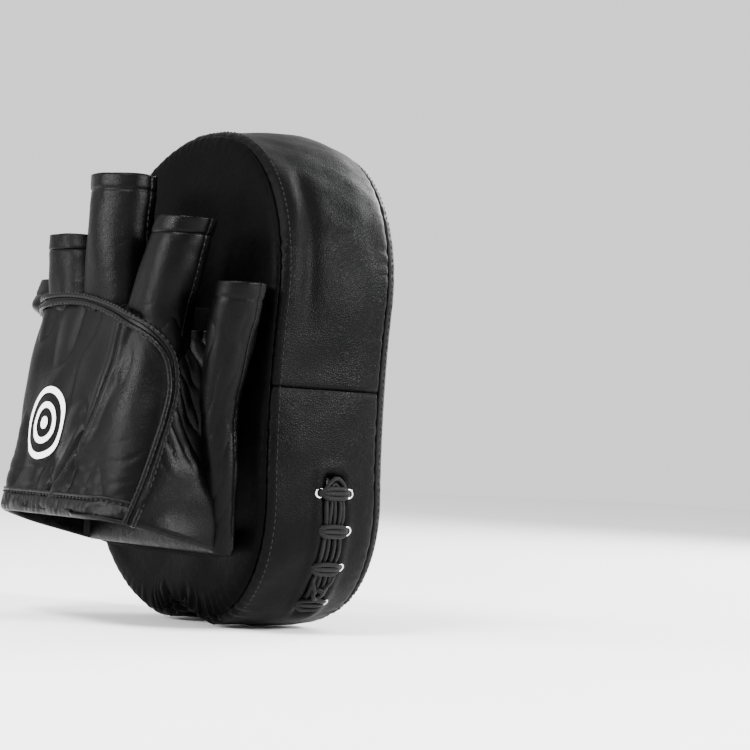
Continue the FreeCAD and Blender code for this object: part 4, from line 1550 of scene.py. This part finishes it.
@dataclass
class Glove:
    """The open-fingered glove on the pad's back."""

    hand: HandForm
    finishes: Wardrobe

    def build(self) -> None:
        """Makes the hand part, the four fingers and the thumb."""
        Cuff(self.hand, self.finishes).build()
        shared = {"hand": self.hand, "finishes": self.finishes}
        Finger(Body.LITTLE, (69.5, 28.5, 33.0), (14.0, 14.4), (75.6, 22.0, 47.0), (13.2, 12.6), (0.98, 0.83),
               **shared).build()
        Finger(Body.RING, (43.0, 32.5, 33.0), (17.0, 13.0), (54.0, 30.0, 70.0), (15.8, 12.6), (0.83, 0.71),
               **shared).build()
        Finger(Body.MIDDLE, (6.5, 32.6, 33.0), (20.0, 13.2), (8.0, 31.0, 99.0), (17.8, 13.4), (0.71, 0.49),
               **shared).build()
        Finger(Body.INDEX, (-38.0, 32.5, 33.0), (16.5, 13.6), (-47.0, 26.0, 76.0), (15.0, 12.2), (0.49, 0.25),
               **shared).build()
        Thumb(Body.THUMB, (-61.0, 15.4, -28.0), (14.0, 12.8), (-80.0, 16.0, 45.0), (13.0, 12.5), (0.0, 0.1),
              crumple=0.7, seam_angle=2.75, **shared).build()


# ---------------------------------------------------------------------------------------------------
# The stage
# ---------------------------------------------------------------------------------------------------


def light(name: str, place: tuple[float, float, float], aim: tuple[float, float, float], size: float,
          power: float) -> None:
    """Adds a soft square light at a place, turned towards a point.

    Args:
        name: The light's name.
        place: Where it stands, in metres.
        aim: The point that it faces, in metres.
        size: The side of the square, in metres.
        power: Its power in watts.
    """
    data = bpy.data.lights.new(name, "AREA")
    data.size, data.energy = size, power
    lamp = bpy.data.objects.new(name, data)
    lamp.location = place
    lamp.rotation_mode = "QUATERNION"
    lamp.rotation_quaternion = (Vector(aim) - Vector(place)).to_track_quat("-Z", "Y")
    bpy.context.scene.collection.objects.link(lamp)


def stage(lowest: float) -> None:
    """A pale floor at a height, a pale sky and four soft lights.

    Args:
        lowest: The floor's height, in metres.
    """
    side = 3.0
    ticks = np.array([-side, side]) / MM
    x, y = np.meshgrid(ticks, ticks, indexing="ij")
    floor = grid_object("floor", np.stack([x, y, np.full(x.shape, lowest / MM)], axis=-1))
    n = Nodes("pale_floor")
    tone = n.mixed(n.noise(n.place(), 3.0), shade((0.86, 0.86, 0.86)), shade((0.9, 0.9, 0.9)))
    floor.data.materials.append(n.done(n.add("BsdfPrincipled", {}, Base_Color=tone, Roughness=0.9)))
    world = bpy.data.worlds.new("pale_room")
    world.use_nodes = True
    sky = world.node_tree.nodes["Background"].inputs
    sky["Color"].default_value, sky["Strength"].default_value = (1.0, 1.0, 1.0, 1.0), 1.25
    bpy.context.scene.world = world
    light("key", (-1.25, -0.85, 0.55), (-0.08, -0.04, 0.03), 0.42, 75.0)
    light("top", (-0.55, 0.9, 1.3), (0, 0.02, 0), 0.5, 60.0)
    light("fill", (0.35, 1.4, 0.45), (0, 0.03, 0), 0.6, 45.0)
    light("front", (0.5, -1.5, 0.8), (0, -0.05, 0), 0.8, 60.0)


@dataclass(frozen=True)
class Viewpoint:
    """Where the mitt is seen from: behind it and on its thumb side, almost level."""

    azimuth: float = 239.05
    elevation: float = -1.24
    roll: float = 3.2
    distance: float = 1.3
    lens: float = 122.304
    yaw: float = 4.3048
    pitch: float = 0.0405
    pivot: tuple[float, float, float] = (0.0, -0.005, 0.0)

    def build(self) -> None:
        """Makes the camera. The mitt stands left of the middle by turning the camera, not by its shift."""
        a, e = math.radians(self.azimuth), math.radians(self.elevation)
        back = Vector((math.sin(a) * math.cos(e), -math.cos(a) * math.cos(e), math.sin(e)))
        data = bpy.data.cameras.new("camera")
        data.sensor_width = 36.0
        data.lens = self.lens
        data.clip_start, data.clip_end = 0.05, 30.0
        camera = bpy.data.objects.new("camera", data)
        camera.rotation_mode = "QUATERNION"
        facing = (-back).to_track_quat("-Z", "Y") @ Quaternion((0, 0, 1), math.radians(self.roll))
        seen = Vector((-math.tan(math.radians(self.yaw)), -math.tan(math.radians(self.pitch)), -1.0)).normalized()
        camera.location = Vector(self.pivot) + back * self.distance
        camera.rotation_quaternion = facing @ seen.rotation_difference(Vector((0, 0, -1)))
        bpy.context.scene.collection.objects.link(camera)
        bpy.context.scene.camera = camera


def dress_frame(nodes: dict[str, bpy.types.Object], finishes: Wardrobe) -> None:
    """Gives every CAD node its own procedural finish, so that none keeps a plain one.

    Args:
        nodes: The CAD nodes by name.
        finishes: The finishes to choose from, by a word in the node's name.
    """
    words = {"foam": finishes.foam, "eyelet": finishes.nickel, "tongue": finishes.gusset, "lace": finishes.lace,
             "strike": finishes.strike, "gusset_": finishes.gusset, "binding": finishes.binding,
             "palm": finishes.lining, "": finishes.glove}
    for name, node in nodes.items():
        node.data.materials.clear()
        node.data.materials.append(next(finish for word, finish in words.items() if word in name))


def spread_of_box() -> list[list[float]]:
    """The whole object's box as plain lists."""
    low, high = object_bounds()
    return [list(low), list(high)]


def main() -> None:
    """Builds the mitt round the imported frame."""
    logging.basicConfig(level=logging.INFO, format="%(message)s")
    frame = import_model()
    cad_box = spread_of_box()
    finishes = Wardrobe()
    dress_frame(frame["nodes"], finishes)
    form = PadForm()
    Pad(form, finishes).build()
    Lacing(form, finishes).build()
    Glove(HandForm(), finishes).build()
    Viewpoint().build()
    stage(cad_box[0][2] - 0.0005)


if __name__ == "__main__":
    main()
